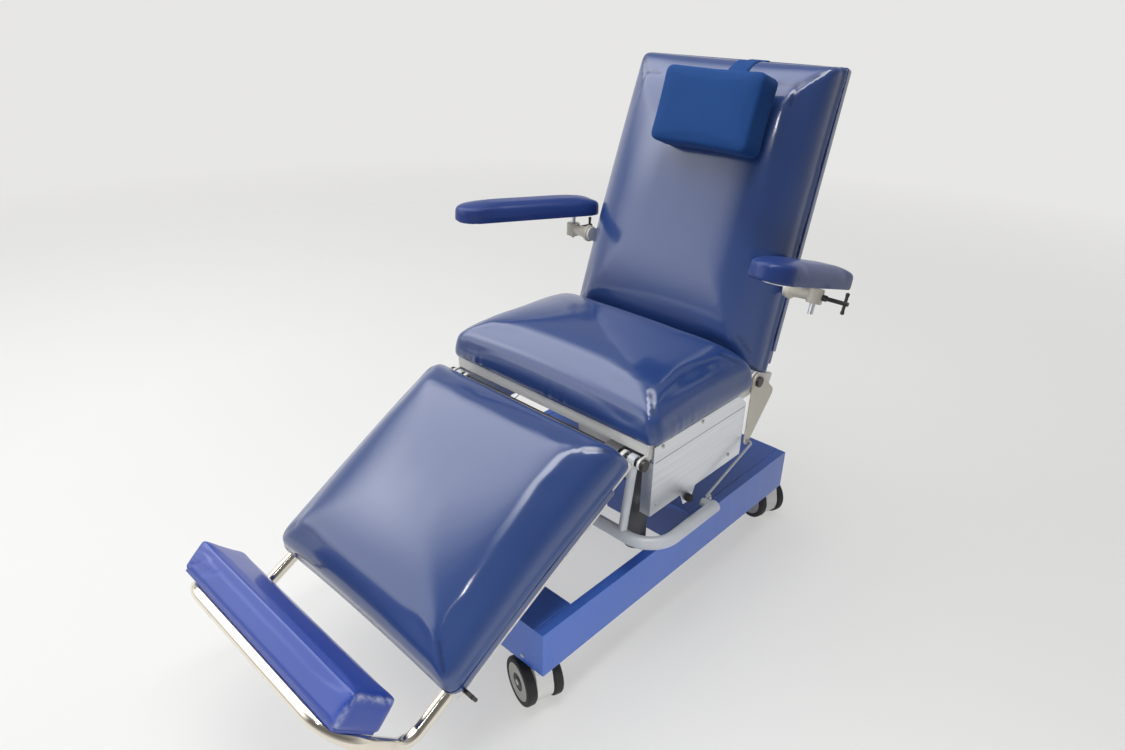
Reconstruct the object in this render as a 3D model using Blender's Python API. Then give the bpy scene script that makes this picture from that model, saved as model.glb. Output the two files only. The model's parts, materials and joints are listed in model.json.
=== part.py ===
"""Powered dialysis chair on a wheeled base, with a lifting seat, reclining back, leg rest and two arms.

Metres, +Z up, floor at z = 0, the chair faces -Y and the sitter's left is +X. Each group of pieces hangs on
an empty that stands on its joint, and the whole chair hangs on one empty that centres it over the origin.
"""

import math

import bmesh
import bpy
from mathutils import Matrix, Vector

# Clearances
FIT = 0.0003
RUN = 0.0006

# Castors
WHEEL_DIAMETER = 0.100
WHEEL_WIDTH = 0.020
WHEEL_GAP = 0.038
AXLE_DIAMETER = 0.010
CASTOR_TRAIL = 0.022
CASTOR_TURN = math.radians(-17.0)
CASTOR_INSET_X = 0.028
CASTOR_INSET_FRONT = 0.022
CASTOR_INSET_REAR = 0.0125
HOOD_RADIUS = 0.046
PEDAL_WIDTH = 0.036
EAR_SHEET = 0.004
WHEEL_CLEARANCE = 0.003

# Base
BASE_WIDTH = 0.580
BASE_LENGTH = 0.874
BASE_HEIGHT = 0.101
BASE_SHEET = 0.003
RAIL_WIDTH = 0.022
FRONT_BEAM_DEPTH = 0.097
DECK_LENGTH = 0.385

# Lift column
COLUMN_WIDTH = 0.160
COLUMN_DEPTH = 0.100
COLUMN_WALL = 0.004
COLUMN_STAGE_GAP = 0.0015
COLUMN_SETBACK = 0.008
COLUMN_CLOSED = 0.2685
STAGE_STEP = 0.014
LIFT_MOTOR_DIAMETER = 0.064
LIFT_MOTOR_HEIGHT = 0.105

# Seat
SEAT_HALF_WIDTH = 0.300
SEAT_FRONT = -0.152
SEAT_REAR = 0.195
SEAT_SIDE = 0.028
SEAT_RISE = 0.086
SEAT_CORNER = 0.028
PAN_HALF_WIDTH = 0.280
PAN_INSET = 0.008
PAN_SHEET = 0.0025
PAN_DEPTH = 0.025

# Side panels
PANEL_SHEET = 0.002
PANEL_OFFSET = 0.0057
PANEL_FRONT = -0.132
PANEL_REAR = 0.200
PANEL_TOP = -0.008
PANEL_BOTTOM = -0.170
PANEL_RETURN = 0.024
BUFFER_DROP = 0.018
BUFFER_DIAMETER = 0.018
SPACER_DIAMETER = 0.012

# Back
BACK_PIVOT_Y = 0.232
BACK_PIVOT_Z = 0.005
BACK_LEAN = math.radians(18.2)
BACK_HALF_WIDTH = 0.280
BACK_LOW = 0.030
BACK_HIGH = 0.680
BACK_BOARD = 0.012
BACK_BOARD_REAR = 0.074
BACK_SIDE = 0.016
BACK_RISE = 0.107
BACK_CORNER = 0.020
BACK_TAPER = 0.020
BACK_TUBE = 0.025
BACK_SPINE_WIDTH = 0.110
BACK_FRAME_BELOW_TOP = 0.120
PIVOT_DIAMETER = 0.016
LUG_SHEET = 0.010
HINGE_SHEET = 0.005

# Arms
ARM_SETBACK = 0.023
ARM_HEIGHT = 0.211
ARM_OUT = 0.350
ARM_LUG_SHEET = 0.006
ARM_PIN_DIAMETER = 0.012
ARM_BOSS_DIAMETER = 0.034
ARM_BOSS_HEIGHT = 0.032
ARM_PAD_LENGTH = 0.392
ARM_PAD_WIDTH = 0.090
ARM_PAD_SIDE = 0.022
ARM_PAD_RISE = 0.023
ARM_PAD_CORNER = 0.026
ARM_STRIP_HALF = 0.022
ARM_PAD_REAR = {"left": 0.094, "right": 0.060}
ARM_STRIP = 0.004
ARM_TILT = {"left": math.radians(16.5), "right": math.radians(3.0)}
ARM_SWIVEL = {"left": math.radians(3.5), "right": math.radians(-18.0)}
ARM_RAISE = {"left": 0.0, "right": 0.018}
T_AIM = {"left": 0.0, "right": math.radians(90.0)}
T_SCREW_LENGTH = 0.056
T_SCREW_DIAMETER = 0.009
T_BAR_LENGTH = 0.048
T_BAR_DIAMETER = 0.007

# Head pillow and strap
PILLOW_WIDTH = 0.248
PILLOW_HEIGHT = 0.164
PILLOW_DEPTH = 0.070
PILLOW_RISE = 0.016
PILLOW_CORNER = 0.016
PILLOW_X = 0.056
PILLOW_BELOW_TOP = 0.144
STRAP_WIDTH = 0.050
STRAP_X = 0.045
STRAP_THICK = 0.002

# Leg rest
LEG_PIVOT_Y = -0.158
LEG_PIVOT_Z = -0.038
LEG_DROP = math.radians(29.0)
LEG_HALF_WIDTH = 0.280
LEG_START = 0.014
LEG_END = 0.532
LEG_FRAME_HALF_WIDTH = 0.272
LEG_SHEET_TOP = 0.0242
LEG_SIDE = 0.016
LEG_RISE = 0.094
LEG_CORNER = 0.026
LEG_TRAY_DEPTH = 0.012
LEG_SLOPE = 0.26
RECEIVER = 0.030
RECEIVER_X = 0.252
RECEIVER_START = 0.100
SHAFT_DIAMETER = 0.016
SHAFT_HALF_LENGTH = 0.281

# Leg drive
DRIVE_X = 0.206
DRIVE_CASE_WIDTH = 0.036
DRIVE_CASE_REACH = 0.092
DRIVE_BODY_DIAMETER = 0.048
DRIVE_BODY_LENGTH = 0.245
DRIVE_BODY_TOP = -0.070
DRIVE_HANGER_WIDTH = 0.032
DRIVE_HANGER_DEPTH = 0.044

# Foot rest
FOOT_TUBE_DIAMETER = 0.025
FOOT_BEND = 0.633
FOOT_TILT = math.radians(15.5)
FOOT_RISE = 0.174
FOOT_INSERT = 0.250
FOOT_BOARD = 0.006
FOOT_PAD_WIDTH = 0.512
FOOT_PAD_HEIGHT = 0.100
FOOT_PAD_LOW = 0.086
FOOT_PAD_SIDE = 0.050
FOOT_PAD_RISE = 0.009
FOOT_PAD_CORNER = 0.010
CLAMP_LENGTH = 0.030

# Release bar, rods and lock levers
BAR_DIAMETER = 0.027
BAR_HALF_WIDTH = 0.338
BAR_DROP = 0.163
BAR_FRONT = -0.023
BAR_REACH = 0.205
BAR_CORNER = 0.065
UPRIGHT_DIAMETER = 0.018
UPRIGHT_X = 0.258
TAB_SHEET = 0.004
ROD_DIAMETER = 0.005
LEVER_SHEET = 0.004
LEVER_REACH_Y = -0.014
LEVER_REACH_Z = -0.146
HOOK_CLEARANCE = 0.0015


def clear_scene():
    for item in list(bpy.data.objects):
        bpy.data.objects.remove(item, do_unlink=True)


def finish(name, colour, roughness, metallic=0.0):
    made = bpy.data.materials.new(name)
    made.use_nodes = True
    shader = made.node_tree.nodes["Principled BSDF"]
    shader.inputs["Base Color"].default_value = (*colour, 1.0)
    shader.inputs["Roughness"].default_value = roughness
    shader.inputs["Metallic"].default_value = metallic
    return made


def holder(name, parent, location, rotation=(0.0, 0.0, 0.0)):
    item = bpy.data.objects.new(name, None)
    bpy.context.scene.collection.objects.link(item)
    item.parent = parent
    item.location = location
    item.rotation_euler = rotation
    return item


def place(name, mesh, look, parent, location=(0.0, 0.0, 0.0), rotation=(0.0, 0.0, 0.0)):
    item = bpy.data.objects.new(name, mesh)
    bpy.context.scene.collection.objects.link(item)
    item.parent = parent
    item.location = location
    item.rotation_euler = rotation
    mesh.materials.append(look)
    return item


def weld(piece, *others):
    """Join further solids to a piece so they make one body."""
    for other in others:
        join = piece.modifiers.new("weld", "BOOLEAN")
        join.operation = "UNION"
        join.solver = "EXACT"
        join.object = other
        other.hide_render = True
        other.display_type = "WIRE"
    return piece


def cut(piece, cutter):
    """Take one solid's space out of a piece."""
    take = piece.modifiers.new("cut", "BOOLEAN")
    take.operation = "DIFFERENCE"
    take.solver = "EXACT"
    take.object = cutter
    cutter.hide_render = True
    cutter.display_type = "WIRE"
    return piece


def smooth(piece, angle=40.0):
    piece.data.shade_smooth()
    piece.data.set_sharp_from_angle(angle=math.radians(angle))
    return piece


def solid(points, faces):
    mesh = bpy.data.meshes.new("solid")
    mesh.from_pydata([tuple(point) for point in points], [], faces)
    shape = bmesh.new()
    shape.from_mesh(mesh)
    bmesh.ops.recalc_face_normals(shape, faces=shape.faces)
    shape.to_mesh(mesh)
    shape.free()
    return mesh


def moved(mesh, offset):
    mesh.transform(Matrix.Translation(offset))
    return mesh


def mirrored(mesh):
    mesh.transform(Matrix.Diagonal((-1.0, 1.0, 1.0, 1.0)))
    mesh.flip_normals()
    return mesh


def sided(mesh, sign):
    return mesh if sign > 0 else mirrored(mesh)


def lift(axis, point, height):
    a, b = point
    return {"X": (height, a, b), "Y": (a, height, b), "Z": (a, b, height)}[axis]


def plate(outline, low, high, axis, holes=()):
    """Flat plate with holes: an outline filled, then extruded along one axis."""
    shape = bmesh.new()
    loops = []
    edges = []
    for loop in (outline, *holes):
        corners = [shape.verts.new(lift(axis, point, low)) for point in loop]
        edges += [shape.edges.new(pair) for pair in zip(corners, corners[1:] + corners[:1])]
        loops.append(corners)
    shape.verts.index_update()
    bmesh.ops.triangle_fill(shape, edges=edges, use_beauty=True)
    bottom = [[v.index for v in face.verts] for face in shape.faces]
    rings = [[v.index for v in loop] for loop in loops]
    points = [v.co.copy() for v in shape.verts]
    shape.free()
    count = len(points)
    rise = Vector(lift(axis, (0.0, 0.0), high - low))
    points += [point + rise for point in points[:count]]
    faces = bottom + [[i + count for i in reversed(face)] for face in bottom]
    for ring in rings:
        for a, b in zip(ring, ring[1:] + ring[:1]):
            faces.append([a, b, b + count, a + count])
    return solid(points, faces)


def box(low, high, bevel=0.0):
    shape = bmesh.new()
    bmesh.ops.create_cube(shape, size=1.0)
    low, high = Vector(low), Vector(high)
    size = high - low
    for vert in shape.verts:
        vert.co = low + Vector(((vert.co[k] + 0.5) * size[k] for k in range(3)))
    if bevel:
        bmesh.ops.bevel(shape, geom=shape.edges[:], offset=bevel, segments=2, affect="EDGES", profile=0.5)
    bmesh.ops.recalc_face_normals(shape, faces=shape.faces)
    mesh = bpy.data.meshes.new("box")
    shape.to_mesh(mesh)
    shape.free()
    return mesh


def circle(centre, radius, count=16):
    a, b = centre
    steps = [2.0 * math.pi * k / count for k in range(count)]
    return [(a + radius * math.cos(t), b + radius * math.sin(t)) for t in steps]


def rectangle(low, high):
    return [low, (high[0], low[1]), high, (low[0], high[1])]


def link(*discs, count=16):
    """Convex outline drawn tight round several discs (a, b, radius)."""
    points = sorted({p for a, b, r in discs for p in circle((a, b), r, count)})

    def chain(ordered):
        kept = []
        for point in ordered:
            while len(kept) > 1 and cross(kept[-2], kept[-1], point) <= 1e-12:
                kept.pop()
            kept.append(point)
        return kept[:-1]

    def cross(o, p, q):
        return (p[0] - o[0]) * (q[1] - o[1]) - (p[1] - o[1]) * (q[0] - o[0])

    return chain(points) + chain(points[::-1])


def turned(profile, axis, count=20):
    """Body of revolution from (radius, height) points, pole to pole or round a bore."""
    points = []
    rings = []
    for radius, height in profile:
        if radius == 0.0:
            rings.append([len(points)])
            points.append(lift(axis, (0.0, 0.0), height))
        else:
            rings.append([len(points) + k for k in range(count)])
            points += [lift(axis, spot, height) for spot in circle((0.0, 0.0), radius, count)]
    pairs = list(zip(rings, rings[1:]))
    if profile[0][0] > 0.0:
        pairs.append((rings[-1], rings[0]))
    faces = []
    for below, above in pairs:
        for k in range(count):
            n = (k + 1) % count
            low_pair = [below[k % len(below)], below[n % len(below)]]
            high_pair = [above[n % len(above)], above[k % len(above)]]
            faces.append(list(dict.fromkeys(low_pair + high_pair)))
    return solid(points, faces)


def rod(start, end, radius, axis, count=16):
    return turned([(0.0, start), (radius, start), (radius, end), (0.0, end)], axis, count)


def rounded_path(corners, radii, steps=5):
    """Straight runs through the corners, each inner corner turned on an arc."""
    path = [Vector(corners[0])]
    for before, corner, after, radius in zip(corners, corners[1:], corners[2:], radii):
        corner = Vector(corner)
        into = (corner - Vector(before)).normalized()
        out = (Vector(after) - corner).normalized()
        turn = into.angle(out)
        start = corner - into * radius * math.tan(turn / 2.0)
        centre = start + (out - into * into.dot(out)).normalized() * radius
        axis = into.cross(out).normalized()
        for k in range(steps + 1):
            path.append(centre + Matrix.Rotation(turn * k / steps, 3, axis) @ (start - centre))
    path.append(Vector(corners[-1]))
    return path


def tube(path, radius, resolution=4):
    """Round bar swept along a path as a bevelled curve with filled ends."""
    curve = bpy.data.curves.new("tube", "CURVE")
    curve.dimensions = "3D"
    curve.bevel_depth = radius
    curve.bevel_resolution = resolution
    curve.use_fill_caps = True
    line = curve.splines.new("POLY")
    line.points.add(len(path) - 1)
    for spot, point in zip(line.points, path):
        spot.co = (*point, 1.0)
    item = bpy.data.objects.new("tube", curve)
    bpy.context.scene.collection.objects.link(item)
    bpy.context.view_layer.update()
    state = bpy.context.evaluated_depsgraph_get()
    mesh = bpy.data.meshes.new_from_object(item.evaluated_get(state))
    bpy.data.objects.remove(item, do_unlink=True)
    shape = bmesh.new()
    shape.from_mesh(mesh)
    bmesh.ops.remove_doubles(shape, verts=shape.verts, dist=0.00001)
    bmesh.ops.recalc_face_normals(shape, faces=shape.faces)
    shape.to_mesh(mesh)
    shape.free()
    mesh.materials.clear()
    return mesh


def soft_rectangle(half_x, half_y, corner, draw_in=0.0, arc=5, run=4):
    """Rounded outline whose straight sides pull in a little between the corners."""
    outline = []
    inner_x, inner_y = half_x - corner, half_y - corner
    corners = [(inner_x, inner_y), (-inner_x, inner_y), (-inner_x, -inner_y), (inner_x, -inner_y)]
    for quarter, (cx, cy) in enumerate(corners):
        for k in range(arc):
            t = math.pi / 2.0 * (quarter + k / (arc - 1))
            outline.append((cx + corner * math.cos(t), cy + corner * math.sin(t)))
        nx, ny = corners[(quarter + 1) % 4]
        t = math.pi / 2.0 * (quarter + 1)
        for k in range(1, run):
            f = k / run
            pull = corner - draw_in * (1.0 - (2.0 * f - 1.0) ** 2)
            outline.append((cx + (nx - cx) * f + pull * math.cos(t), cy + (ny - cy) * f + pull * math.sin(t)))
    return outline


def tapered(outline, amount):
    """Outline drawn in at each side by the given amount toward its far end."""
    half_x = max(x for x, y in outline)
    half_y = max(y for x, y in outline)
    return [(x * (1.0 - amount / half_x * (y + half_y) / (2.0 * half_y)), y) for x, y in outline]


def nosed_outline(width, rear, front, corner, steps=8):
    """Arm pad outline: rounded corners behind, a half-round nose in front."""
    half = width / 2.0
    outline = []
    for k in range(4):
        t = math.pi / 2.0 * k / 3.0
        outline.append((half - corner + corner * math.cos(t), rear - corner + corner * math.sin(t)))
    for k in range(4):
        t = math.pi / 2.0 * (1.0 + k / 3.0)
        outline.append((-half + corner + corner * math.cos(t), rear - corner + corner * math.sin(t)))
    for f in (0.35, 0.7):
        outline.append((-half, rear - corner + (front + half - rear + corner) * f))
    for k in range(steps + 1):
        t = math.pi * (1.0 + k / steps)
        outline.append((half * math.cos(t), front + half + half * math.sin(t)))
    for f in (0.7, 0.35):
        outline.append((half, rear - corner + (front + half - rear + corner) * f))
    return outline


def inset(outline, amount):
    """Outline moved inward along its normals."""
    moved_in = []
    count = len(outline)
    for k, (x, y) in enumerate(outline):
        ax, ay = outline[k - 1]
        bx, by = outline[(k + 1) % count]
        tx, ty = bx - ax, by - ay
        size = math.hypot(tx, ty)
        moved_in.append((x - ty / size * amount, y + tx / size * amount))
    return moved_in


ROUNDNESS = 2.7
RING_SCALES = (0.985, 0.955, 0.90, 0.80, 0.62, 0.36)


def crown(scale, power=ROUNDNESS):
    """Share of its full rise that a cushion has reached at a scale of its outline, 1 at the rim."""
    return (1.0 - scale ** power) ** (1.0 / power)


def cushion(outline, side, rise, power=ROUNDNESS, pinch=0.18, tuck=0.004, slope=0.0):
    """Stuffed form on a flat bottom: short sides, then a dome lower at the corners, higher to +Y by slope."""
    cx = (max(p[0] for p in outline) + min(p[0] for p in outline)) / 2.0
    cy = (max(p[1] for p in outline) + min(p[1] for p in outline)) / 2.0
    half_x = max(p[0] for p in outline) - cx
    half_y = max(p[1] for p in outline) - cy
    rings = [[(x, y, 0.0) for x, y in inset(outline, tuck)]]
    rings.append([(x, y, 0.3 * side) for x, y in outline])
    rings.append([(x, y, side) for x, y in outline])
    for scale in RING_SCALES:
        dome = crown(scale, power)
        ring = []
        for x, y in outline:
            corner = ((x - cx) / half_x * (y - cy) / half_y) ** 2
            lean = 1.0 + slope * scale * (y - cy) / half_y
            height = side + rise * lean * dome * (1.0 - pinch * corner * scale ** 2)
            ring.append((cx + (x - cx) * scale, cy + (y - cy) * scale, height))
        rings.append(ring)
    count = len(outline)
    points = [point for ring in rings for point in ring]
    foot = len(points)
    points += [(cx, cy, 0.0), (cx, cy, side + rise)]
    faces = []
    for r in range(len(rings) - 1):
        for k in range(count):
            n = (k + 1) % count
            faces.append([r * count + k, r * count + n, (r + 1) * count + n, (r + 1) * count + k])
    last = (len(rings) - 1) * count
    for k in range(count):
        n = (k + 1) % count
        faces.append([foot, n, k])
        faces.append([foot + 1, last + k, last + n])
    return solid(points, faces)


def tray(half_x, front, rear, top, depth, sheet):
    """Sheet pan with its four edges folded down."""
    shape = bmesh.new()
    low, high = (-half_x, front), (half_x, rear)
    inner_low, inner_high = (-half_x + sheet, front + sheet), (half_x - sheet, rear - sheet)
    outer_foot = [shape.verts.new((x, y, top - depth)) for x, y in rectangle(low, high)]
    outer_top = [shape.verts.new((x, y, top)) for x, y in rectangle(low, high)]
    inner_foot = [shape.verts.new((x, y, top - depth)) for x, y in rectangle(inner_low, inner_high)]
    inner_top = [shape.verts.new((x, y, top - sheet)) for x, y in rectangle(inner_low, inner_high)]
    shape.faces.new(outer_top)
    shape.faces.new(inner_top)
    for below, above in ((outer_foot, outer_top), (inner_foot, inner_top), (outer_foot, inner_foot)):
        for k in range(4):
            n = (k + 1) % 4
            shape.faces.new((below[k], below[n], above[n], above[k]))
    bmesh.ops.recalc_face_normals(shape, faces=shape.faces)
    mesh = bpy.data.meshes.new("tray")
    shape.to_mesh(mesh)
    shape.free()
    return mesh


def strap_band(path, width, thick):
    """Flat band whose underside follows a (y, z) path."""
    outer = []
    count = len(path)
    for k, point in enumerate(path):
        before = Vector(path[max(k - 1, 0)])
        after = Vector(path[min(k + 1, count - 1)])
        along = (after - before).normalized()
        outer.append(tuple(Vector(point) + Vector((-along.y, along.x)) * thick))
    return plate(list(path) + outer[::-1], -width / 2.0, width / 2.0, "X")


clear_scene()

BLUE_PAINT = finish("blue_paint", (0.03, 0.09, 0.36), 0.35)
WHITE_PAINT = finish("white_paint", (0.80, 0.80, 0.77), 0.40)
CREAM_PAINT = finish("cream_paint", (0.72, 0.68, 0.56), 0.45)
BLUE_VINYL = finish("blue_vinyl", (0.12, 0.16, 0.36), 0.30)
NAVY_CLOTH = finish("navy_cloth", (0.03, 0.09, 0.25), 0.75)
ROYAL_VINYL = finish("royal_vinyl", (0.04, 0.07, 0.34), 0.35)
BRUSHED_STEEL = finish("brushed_steel", (0.62, 0.62, 0.63), 0.32, 1.0)
CHROME = finish("chrome", (0.85, 0.85, 0.86), 0.10, 1.0)
DARK_STEEL = finish("dark_steel", (0.10, 0.10, 0.11), 0.40, 1.0)
GREY_PAINT = finish("grey_paint", (0.52, 0.54, 0.56), 0.40)
GREY_PLASTIC = finish("grey_plastic", (0.30, 0.31, 0.33), 0.50)
WHITE_PLASTIC = finish("white_plastic", (0.82, 0.82, 0.80), 0.40)
BLACK_RUBBER = finish("black_rubber", (0.02, 0.02, 0.02), 0.70)
WOOD = finish("plywood", (0.45, 0.30, 0.16), 0.60)

CHAIR = holder("chair", None, (0.0, 0.0, 0.0))

# Base: two rails folded to a channel, a box beam in front and a folded deck behind
BASE_LOW = WHEEL_DIAMETER + WHEEL_CLEARANCE
BASE_TOP = BASE_LOW + BASE_HEIGHT
HALF_BASE = BASE_WIDTH / 2.0
HALF_LENGTH = BASE_LENGTH / 2.0
RAIL_INNER = HALF_BASE - RAIL_WIDTH

RAIL_SECTION = [
    (RAIL_INNER, BASE_LOW),
    (HALF_BASE, BASE_LOW),
    (HALF_BASE, BASE_TOP),
    (RAIL_INNER, BASE_TOP),
    (RAIL_INNER, BASE_TOP - BASE_SHEET),
    (HALF_BASE - BASE_SHEET, BASE_TOP - BASE_SHEET),
    (HALF_BASE - BASE_SHEET, BASE_LOW + BASE_SHEET),
    (RAIL_INNER, BASE_LOW + BASE_SHEET),
]
for name, side in (("left", 1), ("right", -1)):
    channel = plate(RAIL_SECTION, -HALF_LENGTH, HALF_LENGTH, "Y")
    rail = place(f"base_rail_{name}", sided(channel, side), BLUE_PAINT, CHAIR)
    for end in (-HALF_LENGTH, HALF_LENGTH - BASE_SHEET):
        cap = box(
            (RAIL_INNER, end, BASE_LOW + BASE_SHEET / 2.0),
            (HALF_BASE - BASE_SHEET / 2.0, end + BASE_SHEET, BASE_TOP - BASE_SHEET / 2.0),
        )
        weld(rail, place(f"rail_cap_{name}", sided(cap, side), BLUE_PAINT, CHAIR))

BETWEEN_RAILS = RAIL_INNER - FIT
BEAM_OUTER = rectangle((-HALF_LENGTH, BASE_LOW), (FRONT_BEAM_DEPTH - HALF_LENGTH, BASE_TOP))
BEAM_INNER = rectangle(
    (BASE_SHEET - HALF_LENGTH, BASE_LOW + BASE_SHEET),
    (FRONT_BEAM_DEPTH - HALF_LENGTH - BASE_SHEET, BASE_TOP - BASE_SHEET),
)
BEAM = plate(BEAM_OUTER, -BETWEEN_RAILS, BETWEEN_RAILS, "X", [BEAM_INNER])
place("base_front_beam", BEAM, BLUE_PAINT, CHAIR)

DECK_FRONT = HALF_LENGTH - DECK_LENGTH
DECK_SECTION = [
    (DECK_FRONT, BASE_LOW),
    (DECK_FRONT + BASE_SHEET, BASE_LOW),
    (DECK_FRONT + BASE_SHEET, BASE_TOP - BASE_SHEET),
    (HALF_LENGTH - BASE_SHEET, BASE_TOP - BASE_SHEET),
    (HALF_LENGTH - BASE_SHEET, BASE_LOW),
    (HALF_LENGTH, BASE_LOW),
    (HALF_LENGTH, BASE_TOP),
    (DECK_FRONT, BASE_TOP),
]
place("base_deck", plate(DECK_SECTION, -BETWEEN_RAILS, BETWEEN_RAILS, "X"), BLUE_PAINT, CHAIR)

# Lift column: three telescoping stages from the deck to the seat pan
COLUMN_Y = DECK_FRONT + COLUMN_SETBACK + COLUMN_DEPTH / 2.0
COLUMN_FOOT = BASE_TOP + FIT
SEAT_TOP = BASE_TOP + COLUMN_CLOSED + PAN_SHEET
COLUMN_HEAD = SEAT_TOP - PAN_SHEET - FIT


def stage(step, low, high):
    shrink = step * (COLUMN_WALL + COLUMN_STAGE_GAP)
    half_x = COLUMN_WIDTH / 2.0 - shrink
    half_y = COLUMN_DEPTH / 2.0 - shrink
    outer = rectangle((-half_x, COLUMN_Y - half_y), (half_x, COLUMN_Y + half_y))
    inner = rectangle(
        (COLUMN_WALL - half_x, COLUMN_Y - half_y + COLUMN_WALL),
        (half_x - COLUMN_WALL, COLUMN_Y + half_y - COLUMN_WALL),
    )
    return plate(outer, low, high, "Z", [inner])


STAGE_TOP = COLUMN_HEAD - 2.0 * STAGE_STEP - COLUMN_WALL
place("column_outer", stage(0, COLUMN_FOOT, STAGE_TOP), WHITE_PAINT, CHAIR)
LIFT_HALF = holder("lift_half", CHAIR, (0.0, COLUMN_Y, COLUMN_FOOT))
LIFT_FULL = holder("lift_full", CHAIR, (0.0, 0.0, SEAT_TOP))
MIDDLE = stage(1, COLUMN_FOOT + FIT, STAGE_TOP + STAGE_STEP)
place("column_middle", moved(MIDDLE, (0.0, -COLUMN_Y, -COLUMN_FOOT)), WHITE_PAINT, LIFT_HALF)
INNER_STAGE = moved(stage(2, COLUMN_FOOT + FIT, COLUMN_HEAD - COLUMN_WALL / 2.0), (0.0, 0.0, -SEAT_TOP))
INNER = place("column_inner", INNER_STAGE, WHITE_PAINT, LIFT_FULL)
HEAD = box(
    (-COLUMN_WIDTH / 2.0, COLUMN_Y - COLUMN_DEPTH / 2.0, COLUMN_HEAD - COLUMN_WALL - SEAT_TOP),
    (COLUMN_WIDTH / 2.0, COLUMN_Y + COLUMN_DEPTH / 2.0, COLUMN_HEAD - SEAT_TOP),
)
weld(INNER, place("column_head", HEAD, WHITE_PAINT, LIFT_FULL))

MOTOR_Y = COLUMN_Y + COLUMN_DEPTH / 2.0 + LIFT_MOTOR_DIAMETER / 2.0 + FIT
LIFT_MOTOR = turned(
    [
        (0.0, 0.0),
        (LIFT_MOTOR_DIAMETER / 2.0, 0.0),
        (LIFT_MOTOR_DIAMETER / 2.0, LIFT_MOTOR_HEIGHT * 0.9),
        (LIFT_MOTOR_DIAMETER * 0.42, LIFT_MOTOR_HEIGHT),
        (0.0, LIFT_MOTOR_HEIGHT),
    ],
    "Z",
)
smooth(place("lift_motor", LIFT_MOTOR, GREY_PLASTIC, CHAIR, (0.0, MOTOR_Y, COLUMN_FOOT)))

# Castors: twin wheels on one axle, a hood between and in front of them, a brake pedal
WHEEL_RADIUS = WHEEL_DIAMETER / 2.0
WHEEL_NEAR = WHEEL_GAP / 2.0
WHEEL_FAR = WHEEL_NEAR + WHEEL_WIDTH
HALF_PROFILE = [
    (AXLE_DIAMETER / 2.0, WHEEL_NEAR),
    (WHEEL_RADIUS - 0.005, WHEEL_NEAR),
    (WHEEL_RADIUS, WHEEL_NEAR + 0.005),
    (WHEEL_RADIUS, WHEEL_FAR - 0.005),
    (WHEEL_RADIUS - 0.005, WHEEL_FAR),
    (WHEEL_RADIUS * 0.74, WHEEL_FAR),
    (WHEEL_RADIUS * 0.70, WHEEL_FAR - 0.003),
    (WHEEL_RADIUS * 0.28, WHEEL_FAR - 0.003),
    (WHEEL_RADIUS * 0.24, WHEEL_FAR + 0.001),
    (0.0, WHEEL_FAR + 0.001),
]
WHEEL_PROFILE = [(r, -h) for r, h in HALF_PROFILE[::-1]] + HALF_PROFILE

WEB_HALF = WHEEL_NEAR - 0.0015
PEDAL_PIVOT = (-CASTOR_TRAIL - HOOD_RADIUS - 0.010, WHEEL_RADIUS + 0.014)
EAR_IN = WEB_HALF - EAR_SHEET
PEDAL_ROOT = EAR_IN - RUN


def hood_parts():
    centre = (-CASTOR_TRAIL, WHEEL_RADIUS)
    stem_low = BASE_LOW - 0.024
    web = link((*centre, HOOD_RADIUS), (0.0, stem_low, WEB_HALF), count=28)
    ear = link((*PEDAL_PIVOT, 0.006), (PEDAL_PIVOT[0] + 0.018, PEDAL_PIVOT[1] - 0.004, 0.008), count=12)
    return [
        plate(web, -WEB_HALF, WEB_HALF, "Y", [circle(centre, AXLE_DIAMETER / 2.0 + RUN, 12)]),
        rod(stem_low, BASE_LOW - FIT, WEB_HALF - 0.001, "Z", 12),
        plate(ear, EAR_IN, WEB_HALF, "Y"),
        plate(ear, -WEB_HALF, -EAR_IN, "Y"),
    ]


STEM_X = HALF_BASE - CASTOR_INSET_X
STEM_FRONT = CASTOR_INSET_FRONT - HALF_LENGTH
STEM_REAR = HALF_LENGTH - CASTOR_INSET_REAR
CASTOR_STEMS = {
    "fl": (STEM_X, STEM_FRONT, 0.0),
    "fr": (-STEM_X, STEM_FRONT, 0.0),
    "rl": (STEM_X, STEM_REAR, 0.0),
    "rr": (-STEM_X, STEM_REAR, 0.0),
}
for corner, stem in CASTOR_STEMS.items():
    swivel = holder(f"castor_{corner}", CHAIR, stem, (0.0, 0.0, CASTOR_TURN))
    pieces = hood_parts()
    hood = smooth(place(f"castor_{corner}_hood", pieces[0], WHITE_PLASTIC, swivel))
    weld(hood, *[place(f"hood_part_{corner}", mesh, WHITE_PLASTIC, swivel) for mesh in pieces[1:]])
    wheels = turned(WHEEL_PROFILE, "Y", 20)
    smooth(place(f"castor_{corner}_wheels", wheels, BLACK_RUBBER, swivel, (-CASTOR_TRAIL, 0.0, WHEEL_RADIUS)))
    pedal = plate(link((0.0, 0.0, 0.006), (-0.024, -0.010, 0.004), count=12), -PEDAL_ROOT, PEDAL_ROOT, "Y")
    spot = (PEDAL_PIVOT[0], 0.0, PEDAL_PIVOT[1])
    lever = place(f"castor_{corner}_pedal", pedal, GREY_PLASTIC, swivel, spot)
    tread = link((-0.014, -0.006, 0.0045), (-0.024, -0.010, 0.0045), count=12)
    tread_mesh = plate(tread, -PEDAL_WIDTH / 2.0, PEDAL_WIDTH / 2.0, "Y")
    weld(lever, place(f"pedal_tread_{corner}", tread_mesh, GREY_PLASTIC, swivel, spot))

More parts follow.
